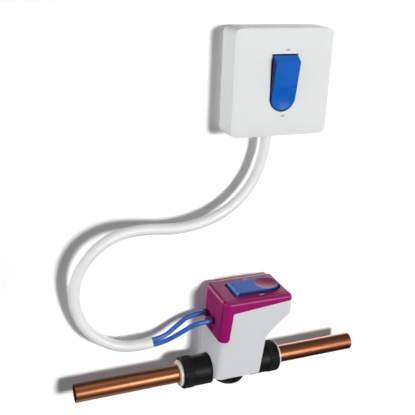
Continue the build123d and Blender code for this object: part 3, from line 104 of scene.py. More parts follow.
# %% [markdown]
# The white sleeve leaves the bottom of the wall switch, swings out to the left in one lazy loop and comes
# back to the valve. Two blue tubes come out of its end and go into the hood. They are free, so each is
# one smooth NURBS curve of a real length. Its few points are the same as the route's points in the solid
# model. The order is set after the points exist, because before that Blender keeps it at straight runs.
# The thickness is each point's own radius, because Blender adds that radius to the box of the curve. Left
# alone, the radius is one metre, and every view that goes by the box would be far too wide.

# %% Draw the sleeve and the tubes
SLEEVE_ROUTE = [(-4, -9, -43), (-4, -9, -58), (-12, -10.5, -83), (-29, -12.5, -103), (-54, -15, -115.5),
                (-84, -17.5, -119), (-109, -20, -114.5), (-134, -23, -114), (-156, -26.5, -124),
                (-171, -29.5, -142), (-175, -32.5, -165), (-167, -35.5, -188), (-148.5, -38, -203.8),
                (-129, -40, -209.2), (-112, -40.8, -207.3)]
OPEN_ROUTE = [(-112.05, -39.3, -205.9), (-101.9, -39.8, -204.8), (-90, -36.2, -198.9), (-76, -31.4, -192.6),
              (-62.4, -31.4, -192.6)]
CLOSE_ROUTE = [(-111.9, -42.3, -208.7), (-101.8, -42.8, -207.6), (-90, -44.3, -201.4), (-76, -46.6, -192.6),
               (-62.4, -46.6, -192.6)]
SLEEVE_SIZE, TUBE_SIZE = 9.0, 4.0


def cord_curve(name, route, thickness):
    curve = bpy.data.curves.new(name, "CURVE")
    curve.dimensions = "3D"
    spline = curve.splines.new("NURBS")
    spline.points.add(len(route) - 1)
    for point, place in zip(spline.points, route):
        point.co = (*(v * MM for v in place), 1)
        point.radius = thickness / 2 * MM
    spline.order_u = 3
    spline.use_endpoint_u = True
    spline.resolution_u = 12
    curve.bevel_depth = 1.0                    # times the radius of each point
    curve.bevel_resolution = 7
    curve.use_fill_caps = True
    piece = bpy.data.objects.new(name, curve)
    scene.collection.objects.link(piece)
    return piece


sleeve = cord_curve("white_sleeve", SLEEVE_ROUTE, SLEEVE_SIZE)
upper_tube = cord_curve("upper_blue_tube", OPEN_ROUTE, TUBE_SIZE)
lower_tube = cord_curve("lower_blue_tube", CLOSE_ROUTE, TUBE_SIZE)
print("points", len(SLEEVE_ROUTE), len(OPEN_ROUTE), len(CLOSE_ROUTE))

# %% [markdown]
# A cord is bought by its length, so each one is measured along its middle. The curve is read once without
# its thickness, and the short runs between its points are added up. The solid that it stands for is then
# hidden, and the cord rides on the root.

# %% Measure the cords


def centre_line(piece):
    # The points of the spline itself: the same curve read without its thickness.
    bare = piece.copy()
    bare.data = piece.data.copy()
    bare.data.bevel_depth = 0
    scene.collection.objects.link(bare)
    bpy.context.view_layer.update()
    mesh = bpy.data.meshes.new_from_object(bare.evaluated_get(bpy.context.evaluated_depsgraph_get()))
    points = [vertex.co.copy() for vertex in mesh.vertices]
    bpy.data.objects.remove(bare)
    bpy.data.meshes.remove(mesh)
    return points


def run_length(points):
    return sum((b - a).length for a, b in zip(points, points[1:]))


SLEEVE_WAY = (SLEEVE_SIZE, "bare", "medium", "hanging", "sleeve_plastic")
TUBE_WAY = (TUBE_SIZE, "object", "stiff", "taut", "tube_plastic")
cords = {  # the curve, its route, its node, and its thickness, far end, stiffness, lay and slot
    "sleeve": (sleeve, SLEEVE_ROUTE, "tube_sleeve", SLEEVE_WAY),
    "upper": (upper_tube, OPEN_ROUTE, "open_tube", TUBE_WAY),
    "lower": (lower_tube, CLOSE_ROUTE, "close_tube", TUBE_WAY),
}
for title, (piece, route, node_name, (size, far_end, stiffness, lay, finish_slot)) in cords.items():
    length = run_length(centre_line(piece))
    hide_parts(node_name)
    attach(piece, "root")
    print(title, "length", round(length / MM, 1), "mm")

# %% [markdown]
# The object hangs on a pale wall. In the photograph only its soft shadow tells where the wall is, and
# that shadow lies close beside every piece, so the backdrop is a sheet that comes forward behind the
# valve. Seen from behind, the sheet lets the eye through, so the back of the object can be looked at too.
# It casts no shadow itself. A plain pale floor lies well below.

# %% Hang the backdrop and lay the floor
WALL_NEAR, WALL_FAR = -23.0, 6.0               # where the sheet hangs behind the valve and the switch
SWEEP_TOP, SWEEP_BOTTOM = -105.0, -190.0       # heights between which it comes forward
ROW_LEAD, ROW_STEP, ROW_COUNT = 5.0, 4.0, 25   # rows of the sheet that make this sweep smooth
SHEET_LEFT, SHEET_RIGHT, SHEET_TOP, FLOOR_HEIGHT = -2600.0, 2600.0, 2000.0, -470.0


def wall_depth(height):
    share = min(1.0, max(0.0, (SWEEP_TOP - height) / (SWEEP_TOP - SWEEP_BOTTOM)))
    smooth = share * share * (3 - 2 * share)
    return WALL_FAR + (WALL_NEAR - WALL_FAR) * smooth


def backdrop_sheet():
    sweep = [SWEEP_TOP + ROW_LEAD - ROW_STEP * row for row in range(ROW_COUNT)]
    heights = [SHEET_TOP, *sweep, FLOOR_HEIGHT]
    mesh = bpy.data.meshes.new("backdrop")
    corners, faces = [], []
    for height in heights:
        for side in (SHEET_LEFT, SHEET_RIGHT):
            corners.append((side * MM, wall_depth(height) * MM, height * MM))
    for row in range(len(heights) - 1):
        faces.append((2 * row, 2 * row + 2, 2 * row + 3, 2 * row + 1))
    mesh.from_pydata(corners, [], faces)
    mesh.shade_smooth()
    return mesh


def floor_sheet():
    mesh = bpy.data.meshes.new("floor")
    left, right, height = SHEET_LEFT * MM, SHEET_RIGHT * MM, FLOOR_HEIGHT * MM
    corners = [(left, left), (right, left), (right, right), (left, right)]
    mesh.from_pydata([(x, y, height) for x, y in corners], [], [(0, 1, 2, 3)])
    return mesh


backdrop = bpy.data.objects.new("backdrop", backdrop_sheet())
floor = bpy.data.objects.new("floor", floor_sheet())
print("backdrop at depth", wall_depth(0), "by the switch and", wall_depth(PIPE_AXIS.z / MM), "by the valve")

# %% [markdown]
# The sheets need a finish that the camera sees only from the front. A small helper makes a shader node,
# feeds its sockets with links or plain values and sets its options, so that a whole material reads from
# top to bottom. The diffuse part takes the shadows, and a weak glow lifts the white for the camera alone.

# %% Finish the stage


def node(tree, kind, feeds=None, **settings):
    made = tree.nodes.new(kind)
    for name, value in settings.items():
        setattr(made, name, value)
    for name, value in (feeds or {}).items():
        if isinstance(value, bpy.types.NodeSocket):
            tree.links.new(value, made.inputs[name])
        else:
            made.inputs[name].default_value = value
    return made


def stage_finish(name, shade, glow):
    # The glow is for the camera and for reflections only, so it doesn't light the object.
    finish = bpy.data.materials.new(name)
    finish.use_nodes = True
    tree = finish.node_tree
    tree.nodes.clear()
    path = node(tree, "ShaderNodeLightPath")
    direct = node(tree, "ShaderNodeMath", {0: path.outputs["Is Camera Ray"],
                                           1: path.outputs["Is Glossy Ray"]}, operation="ADD")
    seen = node(tree, "ShaderNodeMath", {0: direct.outputs[0], 1: path.outputs["Is Transmission Ray"]},
                operation="ADD", use_clamp=True)
    level = node(tree, "ShaderNodeMath", {0: seen.outputs[0], 1: glow}, operation="MULTIPLY")
    cloth = node(tree, "ShaderNodeBsdfDiffuse", {"Color": (shade, shade, shade, 1), "Roughness": 0.4})
    light = node(tree, "ShaderNodeEmission", {"Color": (1, 1, 1, 1), "Strength": level.outputs[0]})
    both = node(tree, "ShaderNodeAddShader", {0: cloth.outputs[0], 1: light.outputs[0]})
    clear = node(tree, "ShaderNodeBsdfTransparent")
    side = node(tree, "ShaderNodeNewGeometry")
    mixed = node(tree, "ShaderNodeMixShader", {"Fac": side.outputs["Backfacing"], 1: both.outputs[0],
                                               2: clear.outputs[0]})
    node(tree, "ShaderNodeOutputMaterial", {"Surface": mixed.outputs[0]})
    return finish


for sheet, finish in ((backdrop, stage_finish("backdrop_white", 0.95, 0.05)),
                      (floor, stage_finish("floor_white", 0.9, 0.62))):
    scene.collection.objects.link(sheet)
    sheet.data.materials.append(finish)
    sheet.visible_shadow = sheet.visible_diffuse = sheet.visible_glossy = False
    sheet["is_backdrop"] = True
    print(sheet.name, len(sheet.data.polygons), "faces in", finish.name)

# %% [markdown]
# A white studio lights the object. One soft lamp at the right makes the shadow on the backdrop. A second
# one in the same place is linked to the stage alone, so that the backdrop reaches white while the pale
# plastics stay below it. The others only fill the sides, so they are linked to the object and leave the
# backdrop alone. A level is how bright a white surface turned to the lamp gets, so the levels can be
# compared whatever the lamp's distance.

# %% Set the lamps
AIM = Vector((-0.05, -0.03, -0.13))            # about the middle of the object
object_pieces = bpy.data.collections.new("object_pieces")
stage_sheets = bpy.data.collections.new("stage_sheets")
LAMPS = {  # name: direction to the lamp, distance, width, level, what alone it lights
    "key_lamp": ((0.29, -1.00, 0.18), 1.5, 0.30, 0.58, None),
    "stage_lamp": ((0.29, -1.00, 0.18), 1.5, 0.30, 0.48, stage_sheets),
    "left_fill": ((-0.98, -0.10, 0.10), 1.2, 0.8, 0.39, object_pieces),
    "right_fill": ((0.95, -0.15, 0.10), 1.3, 0.9, 0.20, object_pieces),
    "top_fill": ((-0.05, -0.20, 0.97), 1.3, 0.9, 0.16, object_pieces),
    "low_front": ((0.47, -0.86, -0.10), 1.3, 0.26, 0.12, object_pieces),
    "under_fill": ((-0.10, -0.20, -0.97), 1.3, 0.9, 0.20, object_pieces),
    "back_fill_left": ((-0.55, 0.83, 0.05), 1.4, 0.9, 0.40, object_pieces),
    "back_fill_right": ((0.55, 0.83, 0.05), 1.4, 0.9, 0.40, object_pieces),
}
for sheet in (backdrop, floor):
    stage_sheets.objects.link(sheet)


def make_lamp(name, direction, distance, width, level, lights_only):
    direction = Vector(direction).normalized()
    lamp = bpy.data.lights.new(name, "AREA")
    lamp.shape, lamp.size = "DISK", width
    lamp.energy = level * (math.pi * distance) ** 2
    made = bpy.data.objects.new(name, lamp)
    scene.collection.objects.link(made)
    made.location = AIM + direction * distance
    made.rotation_mode = "QUATERNION"
    made.rotation_quaternion = direction.to_track_quat("Z", "Y")
    if lights_only:
        made.light_linking.receiver_collection = lights_only
    return made


for name, facts in LAMPS.items():
    lamp = make_lamp(name, *facts)
    print(name, round(lamp.data.energy, 1), "W")

# %% [markdown]
# The world is white for the eye, bright at the horizon and darker overhead and underfoot in reflections,
# and weak as a light. The Light Path node tells these three apart. Reflections are also darker on the
# side of the wall, where a room has no windows.

# %% Surround it with a studio
AMBIENT = 0.13                                 # light from all round
UNDERFOOT, OVERHEAD = (0.05, 0.05, 0.05, 1), (0.32, 0.32, 0.33, 1)
BAND = ((0.36, 0.30), (0.46, 1.0), (0.56, 0.95), (0.70, 0.55))   # height in the ramp and grey there
WALL_DIMMING = 0.3

world = bpy.data.worlds.new("studio")
scene.world = world
world.use_nodes = True
tree = world.node_tree
tree.nodes.clear()
path = node(tree, "ShaderNodeLightPath")
way = node(tree, "ShaderNodeTexCoord")
parts = node(tree, "ShaderNodeSeparateXYZ", {0: way.outputs["Generated"]})
studio = node(tree, "ShaderNodeValToRGB", {"Fac": node(tree, "ShaderNodeMapRange", {
    "Value": parts.outputs["Z"], "From Min": -1.0, "From Max": 1.0}).outputs[0]})
stops = studio.color_ramp.elements
stops[0].position, stops[0].color = 0.12, UNDERFOOT
stops[1].position, stops[1].color = 0.92, OVERHEAD
for place, shade in BAND:
    stop = stops.new(place)
    stop.color = (shade, shade, shade, 1)
wall_side = node(tree, "ShaderNodeMapRange", {"Value": parts.outputs["Y"], "From Min": -0.1,
                                              "From Max": 0.6, "To Min": 1.0, "To Max": WALL_DIMMING})
room = node(tree, "ShaderNodeMix", {0: 1.0, 6: studio.outputs[0], 7: wall_side.outputs[0]},
            data_type="RGBA", blend_type="MULTIPLY")
mirror = node(tree, "ShaderNodeMath", {0: path.outputs["Is Glossy Ray"],
                                       1: path.outputs["Is Transmission Ray"]},
              operation="ADD", use_clamp=True)
inner = node(tree, "ShaderNodeMix", {0: mirror.outputs[0], 6: (AMBIENT, AMBIENT, AMBIENT, 1),
                                     7: room.outputs[2]}, data_type="RGBA")
outer = node(tree, "ShaderNodeMix", {0: path.outputs["Is Camera Ray"], 6: inner.outputs[2],
                                     7: (1, 1, 1, 1)}, data_type="RGBA")
shine = node(tree, "ShaderNodeBackground", {"Color": outer.outputs[2], "Strength": 1.0})
node(tree, "ShaderNodeOutputWorld", {"Surface": shine.outputs[0]})
scene.view_settings.view_transform = "Standard"
print("world", world.name, "with", len(stops), "stops in its ramp")

# %% [markdown]
# Moulded plastic is never one flat colour. Its skin has a fine grain from the mould, slow changes of
# shade where the plastic flowed, lighter worn edges where hands and tools touch it, and a little dust on
# top. On the blue rockers the same edge mask paints shade along the rims instead. Each of these is used by
# many finishes, so each is a node group with named inputs and outputs, built once. A group only puts out
# masks and heights, and the shader stays in the material.

# %% Build the moulded skin


def effect(name, inputs, outputs):
    group = bpy.data.node_groups.new(name, "ShaderNodeTree")
    for title, start in inputs.items():
        socket = group.interface.new_socket(title, in_out="INPUT", socket_type="NodeSocketFloat")
        socket.default_value = start
    for title in outputs:
        group.interface.new_socket(title, in_out="OUTPUT", socket_type="NodeSocketFloat")
    return group, group.nodes.new("NodeGroupInput"), group.nodes.new("NodeGroupOutput")


def skin_effect():
    # Object coordinates are in metres, so a scale of 2500 makes a grain of about 0.4 mm.
    group, given, gives = effect("moulded_skin", {"Grain Scale": 2500, "Flow Scale": 45, "Stretch": 1.0},
                                 ("Height", "Flow"))
    place = node(group, "ShaderNodeTexCoord")
    factors = node(group, "ShaderNodeCombineXYZ", {0: given.outputs["Stretch"], 1: 1.0, 2: 1.0})
    pulled = node(group, "ShaderNodeVectorMath", {0: place.outputs["Object"], 1: factors.outputs[0]},
                  operation="MULTIPLY")
    grain = node(group, "ShaderNodeTexNoise", {
        "Vector": pulled.outputs[0], "Scale": given.outputs["Grain Scale"], "Detail": 3.0,
        "Roughness": 0.6})
    flow = node(group, "ShaderNodeTexNoise", {
        "Vector": pulled.outputs[0], "Scale": given.outputs["Flow Scale"], "Detail": 4.0, "Roughness": 0.55,
        "Distortion": 0.4})
    group.links.new(grain.outputs[0], gives.inputs["Height"])
    group.links.new(flow.outputs[0], gives.inputs["Flow"])
    return group


SKIN = skin_effect()
print("effect", SKIN.name, [item.name for item in SKIN.interface.items_tree])

# %% [markdown]
# Edges are found by the Bevel node, which bends the normal near an edge. Where the bent normal differs
# from the true one, there is an edge, and a fine noise breaks the mask up so that it doesn't look like an
# outline. The mask lightens worn edges, and on the blue rockers it darkens the rims as painted shade.

# %% Build the worn and shaded edges


def edge_effect():
    group, given, gives = effect("edge_wear_and_shade", {"Radius": 0.0005, "Break-up": 900, "Amount": 1.0},
                                 ("Mask",))
    bent = node(group, "ShaderNodeBevel", {"Radius": given.outputs["Radius"]}, samples=4)
    true = node(group, "ShaderNodeNewGeometry")
    same = node(group, "ShaderNodeVectorMath", {0: bent.outputs[0], 1: true.outputs["Normal"]},
                operation="DOT_PRODUCT")
    near = node(group, "ShaderNodeMapRange", {"Value": same.outputs["Value"], "From Min": 0.99,
                                              "From Max": 0.8})
    place = node(group, "ShaderNodeTexCoord")
    edge_break_noise = node(group, "ShaderNodeTexNoise", {"Vector": place.outputs["Object"],
                                               "Scale": given.outputs["Break-up"], "Detail": 2.0})
    edge_break_mask = node(group, "ShaderNodeMapRange", {"Value": edge_break_noise.outputs[0], "From Min": 0.35,
                                              "From Max": 0.65})
    both = node(group, "ShaderNodeMath", {0: near.outputs[0], 1: edge_break_mask.outputs[0]}, operation="MULTIPLY")
    scaled = node(group, "ShaderNodeMath", {0: both.outputs[0], 1: given.outputs["Amount"]},
                  operation="MULTIPLY", use_clamp=True)
    group.links.new(scaled.outputs[0], gives.inputs["Mask"])
    return group


EDGES = edge_effect()
print("effect", EDGES.name, [item.name for item in EDGES.interface.items_tree])

# %% [markdown]
# Dust settles on what looks up. The upward part of the normal gives the mask, and a soft noise makes it
# patchy, so that a top face is a little paler than a side.

# %% Build the settled dust


def dust_effect():
    group, given, gives = effect("settled_dust", {"Amount": 0.2, "Patch Scale": 120}, ("Mask",))
    true = node(group, "ShaderNodeNewGeometry")
    parts = node(group, "ShaderNodeSeparateXYZ", {0: true.outputs["Normal"]})
    upward = node(group, "ShaderNodeMapRange", {"Value": parts.outputs["Z"], "From Min": 0.4,
                                                "From Max": 1.0})
    place = node(group, "ShaderNodeTexCoord")
    patch = node(group, "ShaderNodeTexNoise", {"Vector": place.outputs["Object"],
                                               "Scale": given.outputs["Patch Scale"], "Detail": 5.0})
    both = node(group, "ShaderNodeMath", {0: upward.outputs[0], 1: patch.outputs[0]}, operation="MULTIPLY")
    scaled = node(group, "ShaderNodeMath", {0: both.outputs[0], 1: given.outputs["Amount"]},
                  operation="MULTIPLY", use_clamp=True)
    group.links.new(scaled.outputs[0], gives.inputs["Mask"])
    return group


DUST = dust_effect()
print("effect", DUST.name, [item.name for item in DUST.interface.items_tree])

# %% [markdown]
# Each finish mixes two near shades of its colour by the flow mask, lightens or darkens the edges, and
# lays dust over them. The grain goes to the Bump node, and the flow also moves the roughness a little. A
# number that doesn't change over the surface, such as the specular level, is set on the shader itself.

# %% Write the recipe of a finish
DUST_COLOUR = (0.55, 0.53, 0.5, 1)
GRAIN_DEPTH = 0.00008                          # in metres


def blend_colours(tree, mask, first, second):
    return node(tree, "ShaderNodeMix", {0: mask, 6: first, 7: second}, data_type="RGBA").outputs[2]


def shade_of(colour, factor):
    return (*(min(1.0, part * factor) for part in colour), 1)


def plain_finish(name, colour, roughness, vary=0.06, grain=2500, flow=45, bump=0.05, stretch=1.0,
                 edge=1.25, edge_amount=0.35, edge_radius=0.0005, dust=0.06, metallic=0.0, rough_vary=0.08,
                 **constants):
    finish = bpy.data.materials.new(name)
    finish.use_nodes = True
    tree = finish.node_tree
    tree.nodes.clear()
    skin = node(tree, "ShaderNodeGroup", node_tree=SKIN)
    for title, value in (("Grain Scale", grain), ("Flow Scale", flow), ("Stretch", stretch)):
        skin.inputs[title].default_value = value
    edges = node(tree, "ShaderNodeGroup", node_tree=EDGES)
    edges.inputs["Radius"].default_value, edges.inputs["Amount"].default_value = edge_radius, edge_amount
    settled = node(tree, "ShaderNodeGroup", node_tree=DUST)
    settled.inputs["Amount"].default_value = dust
    body = blend_colours(tree, skin.outputs["Flow"], shade_of(colour, 1 - vary), shade_of(colour, 1 + vary))
    # Edges lighter for wear, or darker where the factor is below one, which on the rocker rims is painted
    # shade.
    edge_worn_or_shaded = blend_colours(tree, edges.outputs["Mask"], body, shade_of(colour, edge))
    dusty = blend_colours(tree, settled.outputs["Mask"], edge_worn_or_shaded, DUST_COLOUR)
    rough = node(tree, "ShaderNodeMapRange", {"Value": skin.outputs["Flow"], "From Min": 0.3,
                                              "From Max": 0.7, "To Min": roughness - rough_vary / 2,
                                              "To Max": roughness + rough_vary / 2})
    relief = node(tree, "ShaderNodeBump", {"Height": skin.outputs["Height"], "Strength": bump,
                                           "Distance": GRAIN_DEPTH})
    shader = node(tree, "ShaderNodeBsdfPrincipled", {"Base Color": dusty, "Roughness": rough.outputs[0],
                                                     "Normal": relief.outputs[0], "Metallic": metallic})
    for title, value in constants.items():
        shader.inputs[title.replace("_", " ")].default_value = value
    node(tree, "ShaderNodeOutputMaterial", {"Surface": shader.outputs[0]})
    return finish


print("a finish has", len(plain_finish.__defaults__), "values that can be left out")

# %% [markdown]
# The two white mouldings differ a little, as they do in the photograph, and the magenta and the blue are
# deep colours with hardly any of the third light in them. An edge factor above one makes the worn edges
# lighter, and one below it makes them darker: at the rims of the clear blue rockers that is painted shade.

# %% Mix the plastics
case_white = plain_finish("case_white", (0.80, 0.81, 0.81), 0.45, vary=0.02, edge=1.1, dust=0.03,
                          Specular_IOR_Level=0.2)
casing_white = plain_finish("casing_white", (0.70, 0.71, 0.73), 0.42, vary=0.02, edge=1.15, dust=0.03,
                            Specular_IOR_Level=0.3)
# The edge factor below one paints shade along the rims of the blue rockers.
rocker_blue = plain_finish("rocker_blue", (0.002, 0.115, 0.53), 0.28, vary=0.06, edge=0.45, edge_amount=0.8,
                           edge_radius=0.0008, dust=0.01, Specular_IOR_Level=0.22)
# A dark copy of the rocker blue: painted shade for the sides and rounded edges that turn from the light.
rocker_painted_shade = plain_finish("rocker_painted_shade", (0.002, 0.018, 0.11), 0.34, vary=0.10, edge=1.6, edge_amount=0.3,
                           dust=0.01, Specular_IOR_Level=0.2)
hood_magenta = plain_finish("hood_magenta", (0.32, 0.004, 0.13), 0.36, vary=0.08, edge=1.2, edge_amount=0.0,
                            dust=0.01, Specular_IOR_Level=0.28)
port_magenta = plain_finish("port_magenta", (0.09, 0.003, 0.045), 0.40, vary=0.10, edge=1.4, dust=0.01,
                            Specular_IOR_Level=0.25)
pad_magenta = plain_finish("pad_magenta", (0.30, 0.012, 0.10), 0.42, vary=0.08, edge=1.2, dust=0.01,
                           Specular_IOR_Level=0.25)
body_black = plain_finish("body_black", (0.004, 0.004, 0.0042), 0.46, vary=0.25, edge=1.6, edge_amount=0.4,
                          bump=0.10, dust=0.004, Specular_IOR_Level=0.13)
collet_cream = plain_finish("collet_cream", (0.76, 0.75, 0.66), 0.36, vary=0.04, edge=1.1)
pilot_grey = plain_finish("pilot_grey", (0.50, 0.51, 0.53), 0.5, bump=0.1)
plunger_white = plain_finish("plunger_white", (0.82, 0.81, 0.76), 0.3, grain=1200)
sleeve_white = plain_finish("sleeve_white", (0.88, 0.88, 0.87), 0.38, vary=0.03, edge=1.0, edge_amount=0.0)
tube_blue = plain_finish("tube_blue", (0.012, 0.12, 0.50), 0.30, vary=0.10, edge=0.8, edge_amount=0.0,
                         dust=0.0)
for title, (piece, *_) in cords.items():
    piece.data.materials.append(sleeve_white if title == "sleeve" else tube_blue)
    print(piece.name, "has", piece.data.materials[0].name)

# %% [markdown]
# Rubber is dull and takes dust. The metals are mirrors with a fine grain. The copper was drawn through a
# ring, so its grain is pulled out along the pipe: a low stretch factor makes the noise long that way.

# %% Mix the rubbers and the metals
seal_black = plain_finish("seal_black", (0.02, 0.02, 0.02), 0.62, vary=0.3, bump=0.15, dust=0.1)
hose_black = plain_finish("hose_black", (0.045, 0.045, 0.047), 0.55, vary=0.2, bump=0.15)
bright_steel = plain_finish("bright_steel", (0.62, 0.62, 0.63), 0.28, metallic=1.0, grain=1500, bump=0.06,
                            dust=0.0, rough_vary=0.12)
turned_brass = plain_finish("turned_brass", (0.78, 0.56, 0.26), 0.3, metallic=1.0, grain=1800, bump=0.06,
                            dust=0.0, rough_vary=0.12)
drawn_copper = plain_finish("drawn_copper", (0.235, 0.088, 0.042), 0.34, metallic=1.0, grain=1400,
                            stretch=0.03, flow=60, vary=0.22, bump=0.04, dust=0.0, edge=1.2)
print("finishes", len(bpy.data.materials))

# %% [markdown]
# The frame's meshes are loose triangles, good for measuring but faceted to look at. A visible piece is
# made from a copy: equal corners are merged, flat areas become single faces, and edges are marked smooth
# or sharp by their angle. Whatever modifiers do to it later, the result is made a plain mesh again.

# %% Copy and smooth a frame node
SLOT_FINISH = {"case_plastic": case_white, "rocker_plastic": rocker_blue, "hood_plastic": hood_magenta,
               "body_plastic": body_black, "collet_plastic": collet_cream, "pilot_plastic": pilot_grey,
               "plunger_plastic": plunger_white, "sleeve_plastic": sleeve_white, "tube_plastic": tube_blue,
               "seal_rubber": seal_black, "hose_rubber": hose_black, "steel": bright_steel,
               "brass": turned_brass, "copper": drawn_copper}
BODY_OF = {member: body for body, members in frame["record"]["behaviour"]["bodies"].items()
           for member in members}
MERGE_WITHIN = 2e-6                            # metres between corners that are really one
BROAD_FACE, BROAD_EDGE = 8e-5, 0.008           # square metres and metres, for the edges of a pyramid
SHALLOW = math.radians(0.6)


def clean_copy(node_name, flat_angle):
    source = frame["nodes"][node_name].data
    mesh = bpy.data.meshes.new(node_name)
    mesh.from_pydata([v.co for v in source.vertices], [], [tuple(p.vertices) for p in source.polygons])
    shape = bmesh.new()
    shape.from_mesh(mesh)
    bmesh.ops.remove_doubles(shape, verts=shape.verts, dist=MERGE_WITHIN)
    bmesh.ops.dissolve_limit(shape, angle_limit=math.radians(flat_angle), verts=shape.verts,
                             edges=shape.edges, use_dissolve_boundaries=False)
    return shape, mesh


def mark_creases(shape, smooth_angle):
    # Sharp are edges past the angle, and long shallow edges between two broad faces, such as a pyramid's.
    limit = math.radians(smooth_angle)
    for edge in shape.edges:
        if len(edge.link_faces) != 2:
            continue
        angle = edge.calc_face_angle(0)
        broad = min(face.calc_area() for face in edge.link_faces) > BROAD_FACE
        broad = broad and edge.calc_length() > BROAD_EDGE
        edge.smooth = not (angle > limit or (broad and angle > SHALLOW))
    for face in shape.faces:
        face.smooth = True


def settle(piece):
    # Modifiers are worked out once, and the plain mesh takes their place.
    bpy.context.view_layer.update()
    ready = piece.evaluated_get(bpy.context.evaluated_depsgraph_get())
    mesh = bpy.data.meshes.new_from_object(ready, preserve_all_data_layers=True,
                                           depsgraph=bpy.context.evaluated_depsgraph_get())
    piece.modifiers.clear()
    piece.data = mesh
    return piece


print("bodies of", len(BODY_OF), "nodes, and", len(SLOT_FINISH), "slots with a finish")

# %% [markdown]
# One moulding needs a mend. In the solids the tip of a screw boss comes a little through each rounded
# left corner of the casing. The walls of the casing lean, so the middle of the rounding is worked out for
# each height. Points farther from it than the rounding allows are tips, and all faces at a tip become one
# face that closes the corner.

# %% Clear the corners of the casing
VALVE_FOOT = Vector((-44.0, -45.4, -239.9)) * MM   # middle of the casing's open bottom
CORNER_X, CORNER_Y = 13.9, 13.5                # middle of the rounding, from there
CORNER_ROUND, CORNER_SPARE = 6.0, 0.1          # its radius, and what a point may lie beyond it
LEFT_LEAN, FRONT_LEAN = 4.8 / 72.4, 2.3 / 72.4     # how far the walls lean for each mm of height
TIP_LOW, TIP_HIGH = 5.0, 18.0                  # heights of the boss


def clear_corners(shape):
    for side in (-1, 1):
        tips = []
        for vertex in shape.verts:
            x, y, z = (vertex.co - VALVE_FOOT) / MM
            out = Vector((x + CORNER_X - LEFT_LEAN * z, side * y - CORNER_Y - FRONT_LEAN * z))
            beyond = out.length > CORNER_ROUND + CORNER_SPARE
            if out.x < 0 < out.y and beyond and TIP_LOW < z < TIP_HIGH:
                tips.append(vertex)
        faces = {face for vertex in tips for face in vertex.link_faces}
        bmesh.ops.dissolve_faces(shape, faces=list(faces), use_verts=True)
        print(len(tips), "points of a boss cleared with", len(faces), "faces")


print("rounded corners", CORNER_X, "mm to the left of the middle and", CORNER_Y, "mm either side of it")

# %% [markdown]
# Now each visible piece is moulded. A Bevel modifier rounds the real edges, Weighted Normal keeps the
# flat faces flat, and the finished mesh takes the place of its frame node and rides on its body.

# %% Mould the visible pieces
BEVEL_STEPS, FLAT_WEIGHT = 2, 90


def moulding(name, node_name, finish, rounding=0.25, smooth_angle=28, flat_angle=0.35):
    shape, mesh = clean_copy(node_name, flat_angle)
    if node_name == "valve_casing":
        clear_corners(shape)
    mark_creases(shape, smooth_angle)
    shape.to_mesh(mesh)
    shape.free()
    mesh.name = name
    piece = bpy.data.objects.new(name, mesh)
    scene.collection.objects.link(piece)
    mesh.materials.append(finish)
    if rounding:
        bevel = piece.modifiers.new("rounding", "BEVEL")
        bevel.width, bevel.segments = rounding * MM, BEVEL_STEPS
        bevel.limit_method, bevel.angle_limit = "ANGLE", math.radians(smooth_angle)
        bevel.use_clamp_overlap = True
        bevel.miter_outer = "MITER_SHARP"
    weighted = piece.modifiers.new("weighted", "WEIGHTED_NORMAL")
    weighted.keep_sharp, weighted.weight = True, FLAT_WEIGHT
    settle(piece)
    return piece


def stand_for(piece, node_name):
    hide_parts(node_name)
    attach(piece, BODY_OF[node_name])


VISIBLE = {  # node: (finish, slot, rounding of its edges in mm)
    "switch_cover": (case_white, "case_plastic", 0.25),
    "switch_back_tray": (case_white, "case_plastic", 0.2),
    "switch_rocker": (rocker_blue, "rocker_plastic", 0.3),
    "sleeve_gland": (sleeve_white, "sleeve_plastic", 0.15),
    "valve_rocker": (rocker_blue, "rocker_plastic", 0.3),
    "valve_rocker_pad": (pad_magenta, "hood_plastic", 0.1),
    "valve_hood": (hood_magenta, "hood_plastic", 0),
    "valve_casing": (casing_white, "case_plastic", 0.3),
    "valve_body": (body_black, "body_plastic", 0.25),
    "left_screw_cap": (body_black, "body_plastic", 0.1),
    "right_screw_cap": (body_black, "body_plastic", 0.1),
    "left_pipe_collet": (collet_cream, "collet_plastic", 0.15),
    "right_pipe_collet": (collet_cream, "collet_plastic", 0.15),
    "left_copper_pipe": (drawn_copper, "copper", 0.12),
    "right_copper_pipe": (drawn_copper, "copper", 0.12),
    "valve_open_collet": (port_magenta, "hood_plastic", 0.1),
    "valve_close_collet": (port_magenta, "hood_plastic", 0.1),
}
for node_name, (finish, finish_slot, rounding) in VISIBLE.items():
    piece = moulding(node_name + "_moulding", node_name, finish, rounding)
    stand_for(piece, node_name)
    print(piece.name, len(piece.data.polygons), "faces")

# %% [markdown]
# A spring's two ends move apart as its joint moves. Here each spring is a mesh of its own, moulded from
# its node, and it rides on the body of that node.

# %% Mould the springs
SPRINGS = {  # node: (joint, way it is pressed, length and travel in mm)
    "switch_open_spring": ("switch_open_plunge", Vector((0, 1, 0)), 7.92, 4.18),
    "valve_open_spring": ("valve_open_plunge", Vector((0, 0, -1)), 4.35, 2.09),
    "valve_close_spring": ("valve_close_plunge", Vector((0, 0, -1)), 4.35, 2.09),
    "piston_spring": ("piston_lift", Vector((0, 0, 1)), 10.8, 4.5),
}
for node_name, (joint, pressed, length, travel) in SPRINGS.items():
    spring = moulding(node_name + "_wire", node_name, bright_steel, rounding=0)
    stand_for(spring, node_name)
    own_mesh(spring)

# %% [markdown]
# A rocker is bright blue on its face and on the bevel at its straight end. Its sides and the rounded edge
# between get a deep navy: painted shade, because those faces turn away from the light. Each face of the
# mesh that looks nearly the way one of those two looks keeps the bright finish, and the rest take the dark
# one.

